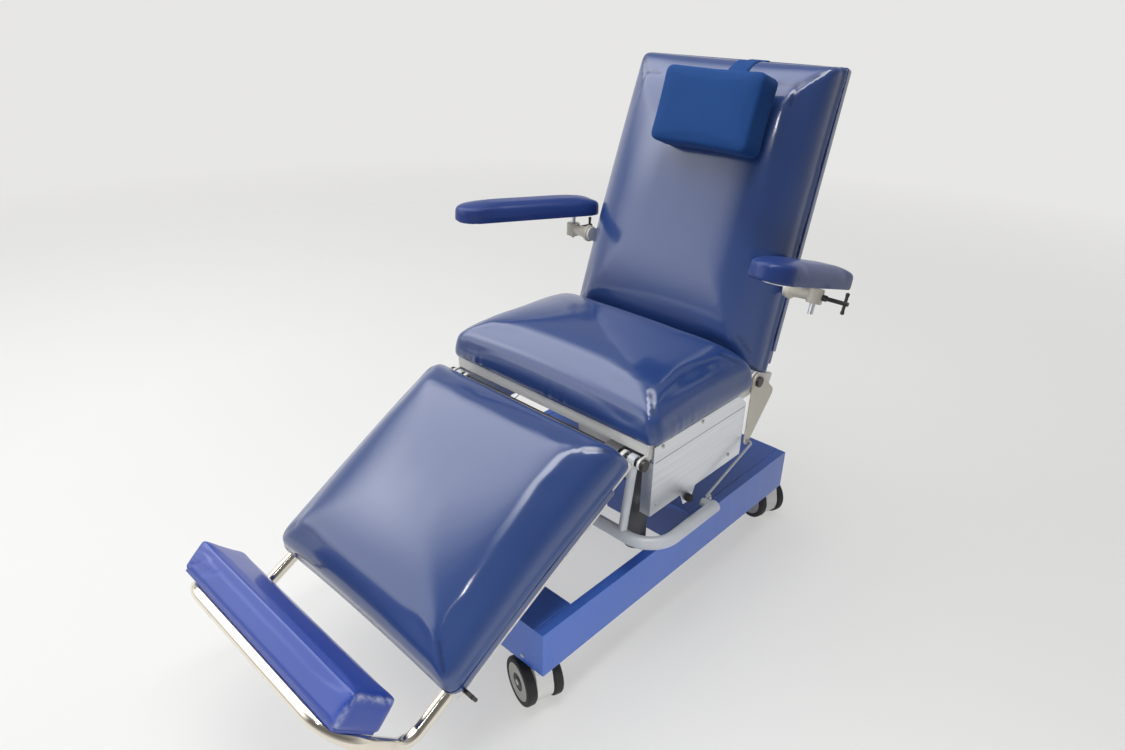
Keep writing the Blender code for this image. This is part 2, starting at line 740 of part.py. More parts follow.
# Seat: sheet pan and cushion
PAN_FRONT = SEAT_FRONT + PAN_INSET
PAN_REAR = SEAT_REAR - FIT
PAN_TRAY = tray(PAN_HALF_WIDTH, PAN_FRONT, PAN_REAR, 0.0, PAN_DEPTH, PAN_SHEET)
PAN = place("seat_pan", PAN_TRAY, WHITE_PAINT, LIFT_FULL)
SEAT_MIDDLE = (SEAT_FRONT + SEAT_REAR) / 2.0
SEAT_OUTLINE = soft_rectangle(SEAT_HALF_WIDTH, (SEAT_REAR - SEAT_FRONT) / 2.0, SEAT_CORNER, 0.004)
SEAT_FORM = cushion(SEAT_OUTLINE, SEAT_SIDE, SEAT_RISE)
smooth(place("seat_cushion", SEAT_FORM, BLUE_VINYL, LIFT_FULL, (0.0, SEAT_MIDDLE, FIT)), 60.0)

# Leg pivot lugs under the pan's front corners
SHAFT_HOLE = SHAFT_DIAMETER / 2.0 + RUN
LUG_IN = LEG_FRAME_HALF_WIDTH + 0.0015
for side in (1, -1):
    seat_lug = plate(
        link((LEG_PIVOT_Y, LEG_PIVOT_Z, 0.012), (PAN_FRONT + 0.016, -PAN_DEPTH + 0.0005 - 0.006, 0.0065)),
        LUG_IN,
        PAN_HALF_WIDTH - 0.001,
        "X",
        [circle((LEG_PIVOT_Y, LEG_PIVOT_Z), SHAFT_HOLE)],
    )
    weld(PAN, place("seat_lug", sided(seat_lug, side), WHITE_PAINT, LIFT_FULL))

# Side panels with a folded front return, a tab for the buffer, and spacers on the pan's sides
PANEL_IN = PAN_HALF_WIDTH + PANEL_OFFSET
PANEL_OUT = PANEL_IN + PANEL_SHEET
BUFFER_Z = PANEL_BOTTOM - BUFFER_DROP
PANEL_OUTLINE = [
    (PANEL_FRONT, PANEL_BOTTOM),
    (-0.026, PANEL_BOTTOM),
    (-0.013, BUFFER_Z - 0.012),
    (0.013, BUFFER_Z - 0.012),
    (0.026, PANEL_BOTTOM),
    (PANEL_REAR, PANEL_BOTTOM),
    (PANEL_REAR, PANEL_TOP - 0.03),
    (PANEL_REAR - 0.03, PANEL_TOP),
    (PANEL_FRONT, PANEL_TOP),
]
SPACER_SPOTS = [(-0.105, -0.016), (0.030, -0.016)]
for name, side in (("left", 1), ("right", -1)):
    sheet = sided(plate(PANEL_OUTLINE, PANEL_IN, PANEL_OUT, "X"), side)
    panel = place(f"side_panel_{name}", sheet, BRUSHED_STEEL, LIFT_FULL)
    fold = box(
        (PANEL_IN - PANEL_RETURN, PANEL_FRONT, PANEL_BOTTOM),
        (PANEL_IN + PANEL_SHEET / 2.0, PANEL_FRONT + PANEL_SHEET, -PAN_DEPTH - 0.020),
    )
    weld(panel, place(f"panel_fold_{name}", sided(fold, side), BRUSHED_STEEL, LIFT_FULL))
    for y, z in SPACER_SPOTS:
        spacer = rod(PAN_HALF_WIDTH + FIT, PANEL_IN + PANEL_SHEET / 2.0, SPACER_DIAMETER / 2.0, "X", 10)
        spacer = sided(moved(spacer, (0.0, y, z)), side)
        weld(panel, place(f"spacer_{name}", spacer, BRUSHED_STEEL, LIFT_FULL))
    bumper = turned(
        [
            (0.0, PANEL_OUT + FIT),
            (BUFFER_DIAMETER / 2.0, PANEL_OUT + FIT),
            (BUFFER_DIAMETER / 2.0, PANEL_OUT + 0.008),
            (BUFFER_DIAMETER * 0.35, PANEL_OUT + 0.011),
            (0.0, PANEL_OUT + 0.011),
        ],
        "X",
        14,
    )
    stop = sided(moved(bumper, (0.0, 0.0, BUFFER_Z)), side)
    smooth(place(f"panel_buffer_{name}", stop, BLACK_RUBBER, LIFT_FULL))

# Back hinge: plates on the pan's sides, a lock lever outside each, one bolt through the stack
PIVOT_HOLE = PIVOT_DIAMETER / 2.0 + RUN
HINGE_IN = PAN_HALF_WIDTH + FIT
HINGE_OUT = HINGE_IN + HINGE_SHEET
LEVER_IN = PANEL_OUT + 0.0008
LEVER_OUT = LEVER_IN + LEVER_SHEET
LUG_OUT = BACK_HALF_WIDTH - 0.006
PIVOT = (BACK_PIVOT_Y, BACK_PIVOT_Z)
HINGE_FOOT = (SEAT_REAR + 0.020, -PAN_DEPTH / 2.0 - 0.001, PAN_DEPTH / 2.0 - 0.002)
HINGE_TAIL = (SEAT_REAR - 0.110, HINGE_FOOT[1], HINGE_FOOT[2])
for name, side in (("left", 1), ("right", -1)):
    head = plate(link((*PIVOT, 0.020), HINGE_FOOT), HINGE_IN, HINGE_OUT, "X", [circle(PIVOT, PIVOT_HOLE)])
    hinge = place(f"hinge_plate_{name}", sided(head, side), WHITE_PAINT, LIFT_FULL)
    tail = plate(link(HINGE_FOOT, HINGE_TAIL), HINGE_IN, HINGE_OUT, "X")
    weld(hinge, place(f"hinge_tail_{name}", sided(tail, side), WHITE_PAINT, LIFT_FULL))
    bolt = turned(
        [
            (0.0, LUG_OUT - LUG_SHEET - 0.010),
            (0.012, LUG_OUT - LUG_SHEET - 0.010),
            (0.012, LUG_OUT - LUG_SHEET - FIT),
            (PIVOT_DIAMETER / 2.0, LUG_OUT - LUG_SHEET - FIT),
            (PIVOT_DIAMETER / 2.0, LEVER_OUT + FIT),
            (0.012, LEVER_OUT + FIT),
            (0.012, LEVER_OUT + 0.007),
            (0.0, LEVER_OUT + 0.007),
        ],
        "X",
        12,
    )
    smooth(place(f"back_bolt_{name}", sided(moved(bolt, (0.0, *PIVOT)), side), DARK_STEEL, LIFT_FULL))

# Leg drive: gear case round the shaft, hung from the pan, and its motor
CASE_HALF = DRIVE_CASE_WIDTH / 2.0
BODY_RADIUS = DRIVE_BODY_DIAMETER / 2.0
BODY_Y = LEG_PIVOT_Y + DRIVE_CASE_REACH
CASE_DISC = DRIVE_CASE_WIDTH * 0.36
GEAR_CASE = plate(
    link(
        (LEG_PIVOT_Y, LEG_PIVOT_Z, CASE_DISC),
        (LEG_PIVOT_Y + 0.63 * DRIVE_CASE_REACH, LEG_PIVOT_Z - 0.6 * CASE_DISC, CASE_DISC),
        (BODY_Y, LEG_PIVOT_Z - 1.5 * CASE_DISC, BODY_RADIUS + 0.004),
    ),
    DRIVE_X - CASE_HALF,
    DRIVE_X + CASE_HALF,
    "X",
    [circle((LEG_PIVOT_Y, LEG_PIVOT_Z), SHAFT_HOLE)],
)
DRIVE = place("leg_motor", GEAR_CASE, GREY_PLASTIC, LIFT_FULL)
HANGER = box(
    (DRIVE_X - DRIVE_HANGER_WIDTH / 2.0, BODY_Y - DRIVE_HANGER_DEPTH / 2.0, LEG_PIVOT_Z - CASE_DISC),
    (DRIVE_X + DRIVE_HANGER_WIDTH / 2.0, BODY_Y + DRIVE_HANGER_DEPTH / 2.0, -PAN_SHEET - FIT),
)
BODY = rod(DRIVE_BODY_TOP - DRIVE_BODY_LENGTH, DRIVE_BODY_TOP, BODY_RADIUS, "Z", 16)
DRIVE_PARTS = [HANGER, moved(BODY, (DRIVE_X, BODY_Y, 0.0))]
weld(DRIVE, *[place("drive_part", mesh, GREY_PLASTIC, LIFT_FULL) for mesh in DRIVE_PARTS])

# Back: frame with its lugs, board and cushion, leaning about the hinge bolts
BACK_FRAME_TOP = BACK_HIGH - BACK_FRAME_BELOW_TOP
PILLOW_CENTRE = BACK_HIGH - PILLOW_BELOW_TOP
BACK = holder("back", LIFT_FULL, (0.0, *PIVOT), (-BACK_LEAN, 0.0, 0.0))
TUBE_NEAR = BACK_BOARD_REAR + FIT
TUBE_FAR = TUBE_NEAR + BACK_TUBE
ARM_LUG_OUT = BACK_HALF_WIDTH + 0.0015 + ARM_LUG_SHEET
HALF_TUBE = BACK_TUBE / 2.0
HALF_SPINE = BACK_SPINE_WIDTH / 2.0
FRAME_HALF = [
    (HALF_SPINE, BACK_FRAME_TOP),
    (HALF_SPINE, ARM_HEIGHT + HALF_TUBE),
    (ARM_LUG_OUT, ARM_HEIGHT + HALF_TUBE),
    (ARM_LUG_OUT, ARM_HEIGHT - HALF_TUBE),
    (HALF_SPINE, ARM_HEIGHT - HALF_TUBE),
    (HALF_SPINE, HALF_TUBE),
    (LUG_OUT, HALF_TUBE),
    (LUG_OUT, -HALF_TUBE),
]
FRAME_OUTLINE = FRAME_HALF + [(-x, z) for x, z in FRAME_HALF[::-1]]
SLOT_X = HALF_SPINE - BACK_TUBE
FRAME_SLOTS = [
    rectangle((-SLOT_X, HALF_TUBE + 0.015), (SLOT_X, ARM_HEIGHT - HALF_TUBE - 0.015)),
    rectangle((-SLOT_X, ARM_HEIGHT + HALF_TUBE + 0.015), (SLOT_X, BACK_FRAME_TOP - BACK_TUBE)),
]
FRAME_PLATE = plate(FRAME_OUTLINE, TUBE_NEAR, TUBE_FAR, "Y", FRAME_SLOTS)
BACK_FRAME = place("back_frame", FRAME_PLATE, WHITE_PAINT, BACK)
for side in (1, -1):
    hinge_lug = plate(
        link((0.0, 0.0, 0.018), (TUBE_FAR - 0.010, 0.0, 0.009)),
        LUG_OUT - LUG_SHEET,
        LUG_OUT,
        "X",
        [circle((0.0, 0.0), PIVOT_HOLE)],
    )
    arm_lug = plate(
        link((ARM_SETBACK, ARM_HEIGHT, 0.018), (TUBE_FAR - 0.010, ARM_HEIGHT, 0.009)),
        ARM_LUG_OUT - ARM_LUG_SHEET,
        ARM_LUG_OUT,
        "X",
    )
    for mesh in (hinge_lug, arm_lug):
        weld(BACK_FRAME, place("back_lug", sided(mesh, side), WHITE_PAINT, BACK))

BOARD_FRONT = BACK_BOARD_REAR - BACK_BOARD
BOARD_IN = 0.004
BOARD_OUTLINE = [
    (-BACK_HALF_WIDTH + BOARD_IN, BACK_LOW + BOARD_IN),
    (BACK_HALF_WIDTH - BOARD_IN, BACK_LOW + BOARD_IN),
    (BACK_HALF_WIDTH - BACK_TAPER - BOARD_IN, BACK_HIGH - BOARD_IN),
    (-BACK_HALF_WIDTH + BACK_TAPER + BOARD_IN, BACK_HIGH - BOARD_IN),
]
BOARD = plate(BOARD_OUTLINE, BOARD_FRONT, BACK_BOARD_REAR, "Y")
place("back_board", BOARD, BLUE_VINYL, BACK)
BACK_MIDDLE = (BACK_LOW + BACK_HIGH) / 2.0
BACK_HALF_HEIGHT = (BACK_HIGH - BACK_LOW) / 2.0
BACK_OUTLINE = tapered(soft_rectangle(BACK_HALF_WIDTH, BACK_HALF_HEIGHT, BACK_CORNER, 0.003), BACK_TAPER)
BACK_FORM = cushion(BACK_OUTLINE, BACK_SIDE, BACK_RISE)
UPRIGHT = (math.pi / 2.0, 0.0, 0.0)
BACK_SEAT_Y = BOARD_FRONT - FIT
smooth(place("back_cushion", BACK_FORM, BLUE_VINYL, BACK, (0.0, BACK_SEAT_Y, BACK_MIDDLE), UPRIGHT), 60.0)

# Strap over the top of the back, and the head pillow in front of it
BACK_FACE = BACK_SEAT_Y - BACK_SIDE - BACK_RISE
STRAP_GAP = 0.0008
STRAP_LOW = PILLOW_CENTRE - 0.050
STRAP_HIGH = PILLOW_CENTRE + 0.020
STRAP_LEAVES = (STRAP_HIGH - BACK_MIDDLE) / BACK_HALF_HEIGHT
STRAP_PATH = [(BACK_FACE - STRAP_GAP, STRAP_LOW), (BACK_FACE - STRAP_GAP, STRAP_HIGH)]
for scale in [scale for scale in RING_SCALES[::-1] if scale > STRAP_LEAVES + 0.05] + [1.0]:
    depth = BACK_SEAT_Y - BACK_SIDE - BACK_RISE * crown(scale)
    STRAP_PATH.append((depth - STRAP_GAP, BACK_MIDDLE + scale * BACK_HALF_HEIGHT + STRAP_GAP))
STRAP_PATH += [
    (BACK_BOARD_REAR - 0.004, BACK_HIGH + STRAP_GAP),
    (BACK_BOARD_REAR + STRAP_GAP, BACK_HIGH - 0.002),
    (BACK_BOARD_REAR + STRAP_GAP, BACK_FRAME_TOP + 0.010),
]
STRAP = strap_band(STRAP_PATH, STRAP_WIDTH, STRAP_THICK)
place("pillow_strap", STRAP, NAVY_CLOTH, BACK, (STRAP_X, 0.0, 0.0))
PILLOW = holder("pillow", BACK, (PILLOW_X, BACK_FACE - 2.0 * STRAP_GAP - STRAP_THICK, PILLOW_CENTRE))
PILLOW_OUTLINE = soft_rectangle(PILLOW_WIDTH / 2.0, PILLOW_HEIGHT / 2.0, PILLOW_CORNER, 0.003)
PILLOW_FORM = cushion(PILLOW_OUTLINE, PILLOW_DEPTH - PILLOW_RISE, PILLOW_RISE, 5.0, 0.06)
smooth(place("head_pillow", PILLOW_FORM, NAVY_CLOTH, PILLOW, (0.0, 0.0, 0.0), UPRIGHT), 60.0)

# Arms: cast bracket tilting on the back's lug, pin in its boss, T-handle screw, strip and pad
BOSS_RADIUS = ARM_BOSS_DIAMETER / 2.0
PIN_RADIUS = ARM_PIN_DIAMETER / 2.0
BRACKET_IN = ARM_LUG_OUT + FIT - ARM_OUT
for name, side in (("left", 1), ("right", -1)):
    tilt = holder(
        f"arm_tilt_{name}",
        BACK,
        (side * ARM_OUT, ARM_SETBACK, ARM_HEIGHT),
        (BACK_LEAN - ARM_TILT[name], 0.0, 0.0),
    )
    boss = plate(
        circle((0.0, 0.0), BOSS_RADIUS, 20),
        -ARM_BOSS_HEIGHT / 2.0,
        ARM_BOSS_HEIGHT / 2.0,
        "Z",
        [circle((0.0, 0.0), PIN_RADIUS + RUN)],
    )
    bracket = smooth(place(f"arm_bracket_{name}", boss, CREAM_PAINT, tilt))
    neck = turned(
        [
            (0.0, BRACKET_IN),
            (0.021, BRACKET_IN),
            (0.021, BRACKET_IN + 0.009),
            (0.015, BRACKET_IN + 0.016),
            (0.012, -PIN_RADIUS - 0.004),
            (0.0, -PIN_RADIUS - 0.004),
        ],
        "X",
        16,
    )
    weld(bracket, place(f"arm_neck_{name}", sided(neck, side), CREAM_PAINT, tilt))
    aim = Matrix.Rotation(T_AIM[name], 3, "Z")
    clamp_spot = aim @ Vector((BOSS_RADIUS + FIT, 0.0, 0.0))
    clamp = holder(f"arm_turn_{name}", tilt, clamp_spot, (0.0, 0.0, T_AIM[name]))
    screw = turned(
        [
            (0.0, 0.0),
            (T_SCREW_DIAMETER * 0.75, 0.0),
            (T_SCREW_DIAMETER * 0.75, 0.008),
            (T_SCREW_DIAMETER / 2.0, 0.011),
            (T_SCREW_DIAMETER / 2.0, T_SCREW_LENGTH),
            (0.0, T_SCREW_LENGTH),
        ],
        "X",
        12,
    )
    handle = smooth(place(f"arm_clamp_{name}", screw, DARK_STEEL, clamp))
    half_bar = T_BAR_LENGTH / 2.0
    bar = turned(
        [
            (0.0, -half_bar),
            (T_BAR_DIAMETER * 0.6, -half_bar + 0.002),
            (T_BAR_DIAMETER * 0.6, -half_bar + 0.007),
            (T_BAR_DIAMETER / 2.0, -half_bar + 0.009),
            (T_BAR_DIAMETER / 2.0, half_bar - 0.009),
            (T_BAR_DIAMETER * 0.6, half_bar - 0.007),
            (T_BAR_DIAMETER * 0.6, half_bar - 0.002),
            (0.0, half_bar),
        ],
        "Z",
        10,
    )
    cross = moved(bar, (T_SCREW_LENGTH - T_BAR_DIAMETER, 0.0, 0.0))
    weld(handle, place(f"t_bar_{name}", cross, DARK_STEEL, clamp))
    raise_pin = holder(f"arm_raise_{name}", tilt, (0.0, 0.0, ARM_RAISE[name]))
    pin = rod(-ARM_BOSS_HEIGHT / 2.0 - 0.024, ARM_BOSS_HEIGHT / 2.0 + 0.004, PIN_RADIUS, "Z", 14)
    smooth(place(f"arm_pin_{name}", pin, BRUSHED_STEEL, raise_pin))
    swing_z = ARM_BOSS_HEIGHT / 2.0 + 0.004 + FIT
    swing = holder(f"arm_swing_{name}", raise_pin, (0.0, 0.0, swing_z), (0.0, 0.0, ARM_SWIVEL[name]))
    pad_rear = ARM_PAD_REAR[name]
    pad_front = pad_rear - ARM_PAD_LENGTH
    strip_rear = (0.0, pad_rear - 2.0 * ARM_STRIP_HALF, ARM_STRIP_HALF)
    strip_front = (0.0, pad_front + 2.7 * ARM_STRIP_HALF, ARM_STRIP_HALF)
    strip = plate(link(strip_rear, strip_front), 0.0, ARM_STRIP, "Z")
    place(f"arm_plate_{name}", strip, BRUSHED_STEEL, swing)
    outline = nosed_outline(ARM_PAD_WIDTH, pad_rear, pad_front, ARM_PAD_CORNER)
    pad = cushion(outline, ARM_PAD_SIDE, ARM_PAD_RISE, 4.0, 0.0, 0.002)
    smooth(place(f"arm_pad_{name}", pad, BLUE_VINYL, swing, (0.0, 0.0, ARM_STRIP + FIT)), 60.0)

# Leg rest: sheet frame with tube receivers and lugs on a through shaft, and its cushion
LEG = holder("leg", LIFT_FULL, (0.0, LEG_PIVOT_Y, LEG_PIVOT_Z), (LEG_DROP, 0.0, 0.0))
TRAY_IN = 0.004
LEG_TRAY = tray(
    LEG_FRAME_HALF_WIDTH,
    -LEG_END + TRAY_IN,
    -LEG_START - TRAY_IN,
    LEG_SHEET_TOP,
    LEG_TRAY_DEPTH,
    PAN_SHEET,
)
LEG_FRAME = place("leg_frame", LEG_TRAY, WHITE_PAINT, LEG)
RECEIVER_TOP = LEG_SHEET_TOP - PAN_SHEET + 0.0005
RECEIVER_Z = RECEIVER_TOP - RECEIVER / 2.0
FOOT_RADIUS = FOOT_TUBE_DIAMETER / 2.0
for side in (1, -1):
    half = RECEIVER / 2.0
    receiver = plate(
        rectangle((RECEIVER_X - half, RECEIVER_Z - half), (RECEIVER_X + half, RECEIVER_Z + half)),
        -LEG_END + 0.003,
        -RECEIVER_START,
        "Y",
    )
    leg_lug = plate(
        link((0.0, 0.0, 0.0135), (-0.055, RECEIVER_TOP - 0.010, 0.010)),
        RECEIVER_X - 0.020,
        RECEIVER_X - 0.012,
        "X",
        [circle((0.0, 0.0), SHAFT_HOLE)],
    )
    for mesh in (receiver, leg_lug):
        weld(LEG_FRAME, place("leg_part", sided(mesh, side), WHITE_PAINT, LEG))
    bore = rod(-LEG_END - 0.01, 0.01 - RECEIVER_START, FOOT_RADIUS + RUN + 0.0002, "Y")
    cut(LEG_FRAME, place("leg_bore", bore, WHITE_PAINT, LEG, (side * RECEIVER_X, 0.0, RECEIVER_Z)))
SHAFT = turned(
    [
        (0.0, -SHAFT_HALF_LENGTH - 0.007),
        (0.012, -SHAFT_HALF_LENGTH - 0.007),
        (0.012, -SHAFT_HALF_LENGTH),
        (SHAFT_DIAMETER / 2.0, -SHAFT_HALF_LENGTH),
        (SHAFT_DIAMETER / 2.0, SHAFT_HALF_LENGTH),
        (0.012, SHAFT_HALF_LENGTH),
        (0.012, SHAFT_HALF_LENGTH + 0.007),
        (0.0, SHAFT_HALF_LENGTH + 0.007),
    ],
    "X",
    14,
)
smooth(place("leg_shaft", SHAFT, DARK_STEEL, LEG))
LEG_MIDDLE = -(LEG_START + LEG_END) / 2.0
LEG_OUTLINE = soft_rectangle(LEG_HALF_WIDTH, (LEG_END - LEG_START) / 2.0, LEG_CORNER, 0.004)
LEG_FORM = cushion(LEG_OUTLINE, LEG_SIDE, LEG_RISE, slope=LEG_SLOPE)
smooth(place("leg_cushion", LEG_FORM, BLUE_VINYL, LEG, (0.0, LEG_MIDDLE, LEG_SHEET_TOP + FIT)), 60.0)

# Foot rest: bent tube sliding in the receivers, board and pad on its upturned legs
FOOT = holder("foot", LEG, (0.0, -FOOT_BEND, RECEIVER_Z))
TOP_Y = -FOOT_RISE * math.sin(FOOT_TILT)
TOP_Z = FOOT_RISE * math.cos(FOOT_TILT)
FOOT_PATH = rounded_path(
    [
        (RECEIVER_X, FOOT_BEND - FOOT_INSERT, 0.0),
        (RECEIVER_X, 0.0, 0.0),
        (RECEIVER_X, TOP_Y, TOP_Z),
        (-RECEIVER_X, TOP_Y, TOP_Z),
        (-RECEIVER_X, 0.0, 0.0),
        (-RECEIVER_X, FOOT_BEND - FOOT_INSERT, 0.0),
    ],
    [0.045, 0.075, 0.075, 0.045],
)
smooth(place("foot_tube", tube(FOOT_PATH, FOOT_RADIUS), CHROME, FOOT), 50.0)
FOOT_FACE = holder("foot_face", FOOT, (0.0, 0.0, 0.0), (FOOT_TILT, 0.0, 0.0))
BOARD_Y = FOOT_RADIUS + FIT
FOOT_HALF = FOOT_PAD_WIDTH / 2.0
FOOT_BACK = box(
    (-FOOT_HALF + 0.006, BOARD_Y, FOOT_PAD_LOW + 0.005),
    (FOOT_HALF - 0.006, BOARD_Y + FOOT_BOARD, FOOT_PAD_LOW + FOOT_PAD_HEIGHT - 0.005),
)
place("foot_board", FOOT_BACK, WOOD, FOOT_FACE)
FOOT_OUTLINE = soft_rectangle(FOOT_HALF, FOOT_PAD_HEIGHT / 2.0, FOOT_PAD_CORNER, 0.002)
FOOT_FORM = cushion(FOOT_OUTLINE, FOOT_PAD_SIDE, FOOT_PAD_RISE, 7.0, 0.1, 0.002)
FOOT_SPOT = (0.0, BOARD_Y + FOOT_BOARD + FIT, FOOT_PAD_LOW + FOOT_PAD_HEIGHT / 2.0)
smooth(place("foot_pad", FOOT_FORM, ROYAL_VINYL, FOOT_FACE, FOOT_SPOT, (-math.pi / 2.0, 0.0, 0.0)), 60.0)

# Clamp screw in the side of the left receiver
CLAMP = holder("foot_lock", LEG, (RECEIVER_X + RECEIVER / 2.0 + FIT, -LEG_END + 0.022, RECEIVER_Z))
KNOB = rod(0.0, CLAMP_LENGTH, 0.004, "X", 10)
FOOT_CLAMP = smooth(place("foot_clamp", KNOB, DARK_STEEL, CLAMP))
WING_OUTLINE = link((0.0, 0.014, 0.0035), (0.0, -0.014, 0.0035), count=10)
WING = plate(WING_OUTLINE, CLAMP_LENGTH - 0.006, CLAMP_LENGTH - 0.001, "X")
weld(FOOT_CLAMP, place("foot_wing", WING, DARK_STEEL, CLAMP))

# Release bar hung on the leg shaft, with a rod up to each lock lever
BAR = holder("release", LIFT_FULL, (0.0, LEG_PIVOT_Y, LEG_PIVOT_Z))
BAR_RADIUS = BAR_DIAMETER / 2.0
BAR_REAR = BAR_FRONT + BAR_REACH
BAR_PATH = rounded_path(
    [
        (BAR_HALF_WIDTH, BAR_REAR, -BAR_DROP),
        (BAR_HALF_WIDTH, BAR_FRONT, -BAR_DROP),
        (-BAR_HALF_WIDTH, BAR_FRONT, -BAR_DROP),
        (-BAR_HALF_WIDTH, BAR_REAR, -BAR_DROP),
    ],
    [BAR_CORNER, BAR_CORNER],
)
RELEASE = smooth(place("release_bar", tube(BAR_PATH, BAR_RADIUS), GREY_PAINT, BAR), 50.0)
TAB_PIN = (BAR_REAR + 0.022, -BAR_DROP)
TAB_IN = BAR_HALF_WIDTH - 0.028
for side in (1, -1):
    upright = tube([(UPRIGHT_X, 0.0, -0.010), (UPRIGHT_X, BAR_FRONT, -BAR_DROP)], UPRIGHT_DIAMETER / 2.0)
    eye = plate(
        circle((0.0, 0.0), 0.0135, 18),
        UPRIGHT_X - 0.0085,
        UPRIGHT_X + 0.0085,
        "X",
        [circle((0.0, 0.0), SHAFT_HOLE)],
    )
    cap = box(
        (TAB_IN, BAR_REAR - 0.006, -BAR_DROP - 0.009),
        (BAR_HALF_WIDTH + 0.009, BAR_REAR + 0.008, -BAR_DROP + 0.009),
    )
    tab = plate(
        link((BAR_REAR + 0.001, -BAR_DROP, 0.0085), (*TAB_PIN, 0.0075)),
        TAB_IN,
        TAB_IN + TAB_SHEET,
        "X",
        [circle(TAB_PIN, ROD_DIAMETER / 2.0 + RUN, 12)],
    )
    for mesh in (upright, eye, cap, tab):
        weld(RELEASE, place("release_part", sided(mesh, side), GREY_PAINT, BAR))

LEVER_TIP = (LEVER_REACH_Y, LEVER_REACH_Z)
ROD_X = TAB_IN - ROD_DIAMETER / 2.0 - 0.002
for name, side in (("left", 1), ("right", -1)):
    turn = holder(f"lever_{name}", LIFT_FULL, (0.0, *PIVOT))
    lever = plate(
        link((0.0, 0.0, 0.019), (*LEVER_TIP, 0.010), (0.062, -0.050, 0.014)),
        LEVER_IN,
        LEVER_OUT,
        "X",
        [
            circle((0.0, 0.0), PIVOT_HOLE),
            circle(LEVER_TIP, ROD_DIAMETER / 2.0 + HOOK_CLEARANCE, 12),
        ],
    )
    place(f"lock_lever_{name}", sided(lever, side), CREAM_PAINT, turn)
    knuckle = holder(f"rod_{name}", BAR, (0.0, *TAB_PIN))
    rise = (
        PIVOT[0] + LEVER_TIP[0] - LEG_PIVOT_Y - TAB_PIN[0],
        PIVOT[1] + LEVER_TIP[1] - LEG_PIVOT_Z - TAB_PIN[1],
    )
    path = rounded_path(
        [
            (TAB_IN + TAB_SHEET + 0.004, 0.0, 0.0),
            (ROD_X, 0.0, 0.0),
            (ROD_X, *rise),
            (LEVER_IN - 0.0004, *rise),
        ],
        [0.004, 0.004],
        3,
    )
    wire = sided(tube(path, ROD_DIAMETER / 2.0, 2), side)
    smooth(place(f"release_rod_{name}", wire, BRUSHED_STEEL, knuckle), 60.0)

# Centre the whole chair over the origin
bpy.context.view_layer.update()
STATE = bpy.context.evaluated_depsgraph_get()
SPOTS = []
for item in bpy.data.objects:
    if item.type == "MESH" and not item.hide_render:
        solid_now = item.evaluated_get(STATE)
        SPOTS += [solid_now.matrix_world @ vert.co for vert in solid_now.data.vertices]
CHAIR.location.x = -(max(p.x for p in SPOTS) + min(p.x for p in SPOTS)) / 2.0
CHAIR.location.y = -(max(p.y for p in SPOTS) + min(p.y for p in SPOTS)) / 2.0
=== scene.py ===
"""Looks of the dialysis chair: covers, fine wheels and tubes, fasteners, materials, light and camera."""

import json
import math

import bmesh
import bpy
import numpy as np
from mathutils import Matrix, Vector
from mathutils.bvhtree import BVHTree


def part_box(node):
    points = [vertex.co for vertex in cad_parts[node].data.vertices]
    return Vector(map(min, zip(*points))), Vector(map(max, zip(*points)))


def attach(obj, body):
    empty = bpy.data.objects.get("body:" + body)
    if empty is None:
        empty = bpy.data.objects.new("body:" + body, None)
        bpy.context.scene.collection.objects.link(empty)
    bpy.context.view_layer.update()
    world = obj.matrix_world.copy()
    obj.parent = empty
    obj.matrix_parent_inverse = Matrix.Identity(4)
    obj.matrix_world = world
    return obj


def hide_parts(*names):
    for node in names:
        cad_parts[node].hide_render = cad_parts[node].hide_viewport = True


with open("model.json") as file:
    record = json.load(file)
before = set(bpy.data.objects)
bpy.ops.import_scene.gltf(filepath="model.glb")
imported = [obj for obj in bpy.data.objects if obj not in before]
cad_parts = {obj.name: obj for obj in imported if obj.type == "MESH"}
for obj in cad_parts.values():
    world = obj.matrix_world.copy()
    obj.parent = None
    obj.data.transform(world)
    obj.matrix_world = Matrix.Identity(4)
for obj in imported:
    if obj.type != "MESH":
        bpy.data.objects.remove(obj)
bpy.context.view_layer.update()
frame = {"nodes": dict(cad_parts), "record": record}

# Where the chair stands in the shared frame: its own zero is the middle of the base, on the floor
RAIL_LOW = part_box("base_rail_right")[0]
RAIL_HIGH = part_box("base_rail_left")[1]
ZERO = Vector(((RAIL_LOW.x + RAIL_HIGH.x) / 2.0, (RAIL_LOW.y + RAIL_HIGH.y) / 2.0, 0.0))

# Joint places and angles of the CAD model, from the chair's own zero
SEAT_TOP = 0.475
BACK_PIVOT = Vector((0.0, 0.232, SEAT_TOP + 0.005))
BACK_LEAN = math.radians(18.2)
LEG_PIVOT = Vector((0.0, -0.158, SEAT_TOP - 0.038))
LEG_DROP = math.radians(29.0)
FOOT_BEND = 0.633
FOOT_TILT = math.radians(15.5)
FIT = 0.0003

# Camera of the photograph, taken as 1125 by 750 pixels
PHOTO_WIDTH = 1125.0
CAMERA_AZIMUTH = math.radians(43.10)
CAMERA_PITCH = math.radians(26.65)
CAMERA_ROLL = math.radians(0.93)
CAMERA_FOCAL = 774.7
CAMERA_SPOT = Vector((1.0177, -1.1739, 1.252))
SENSOR = 36.0


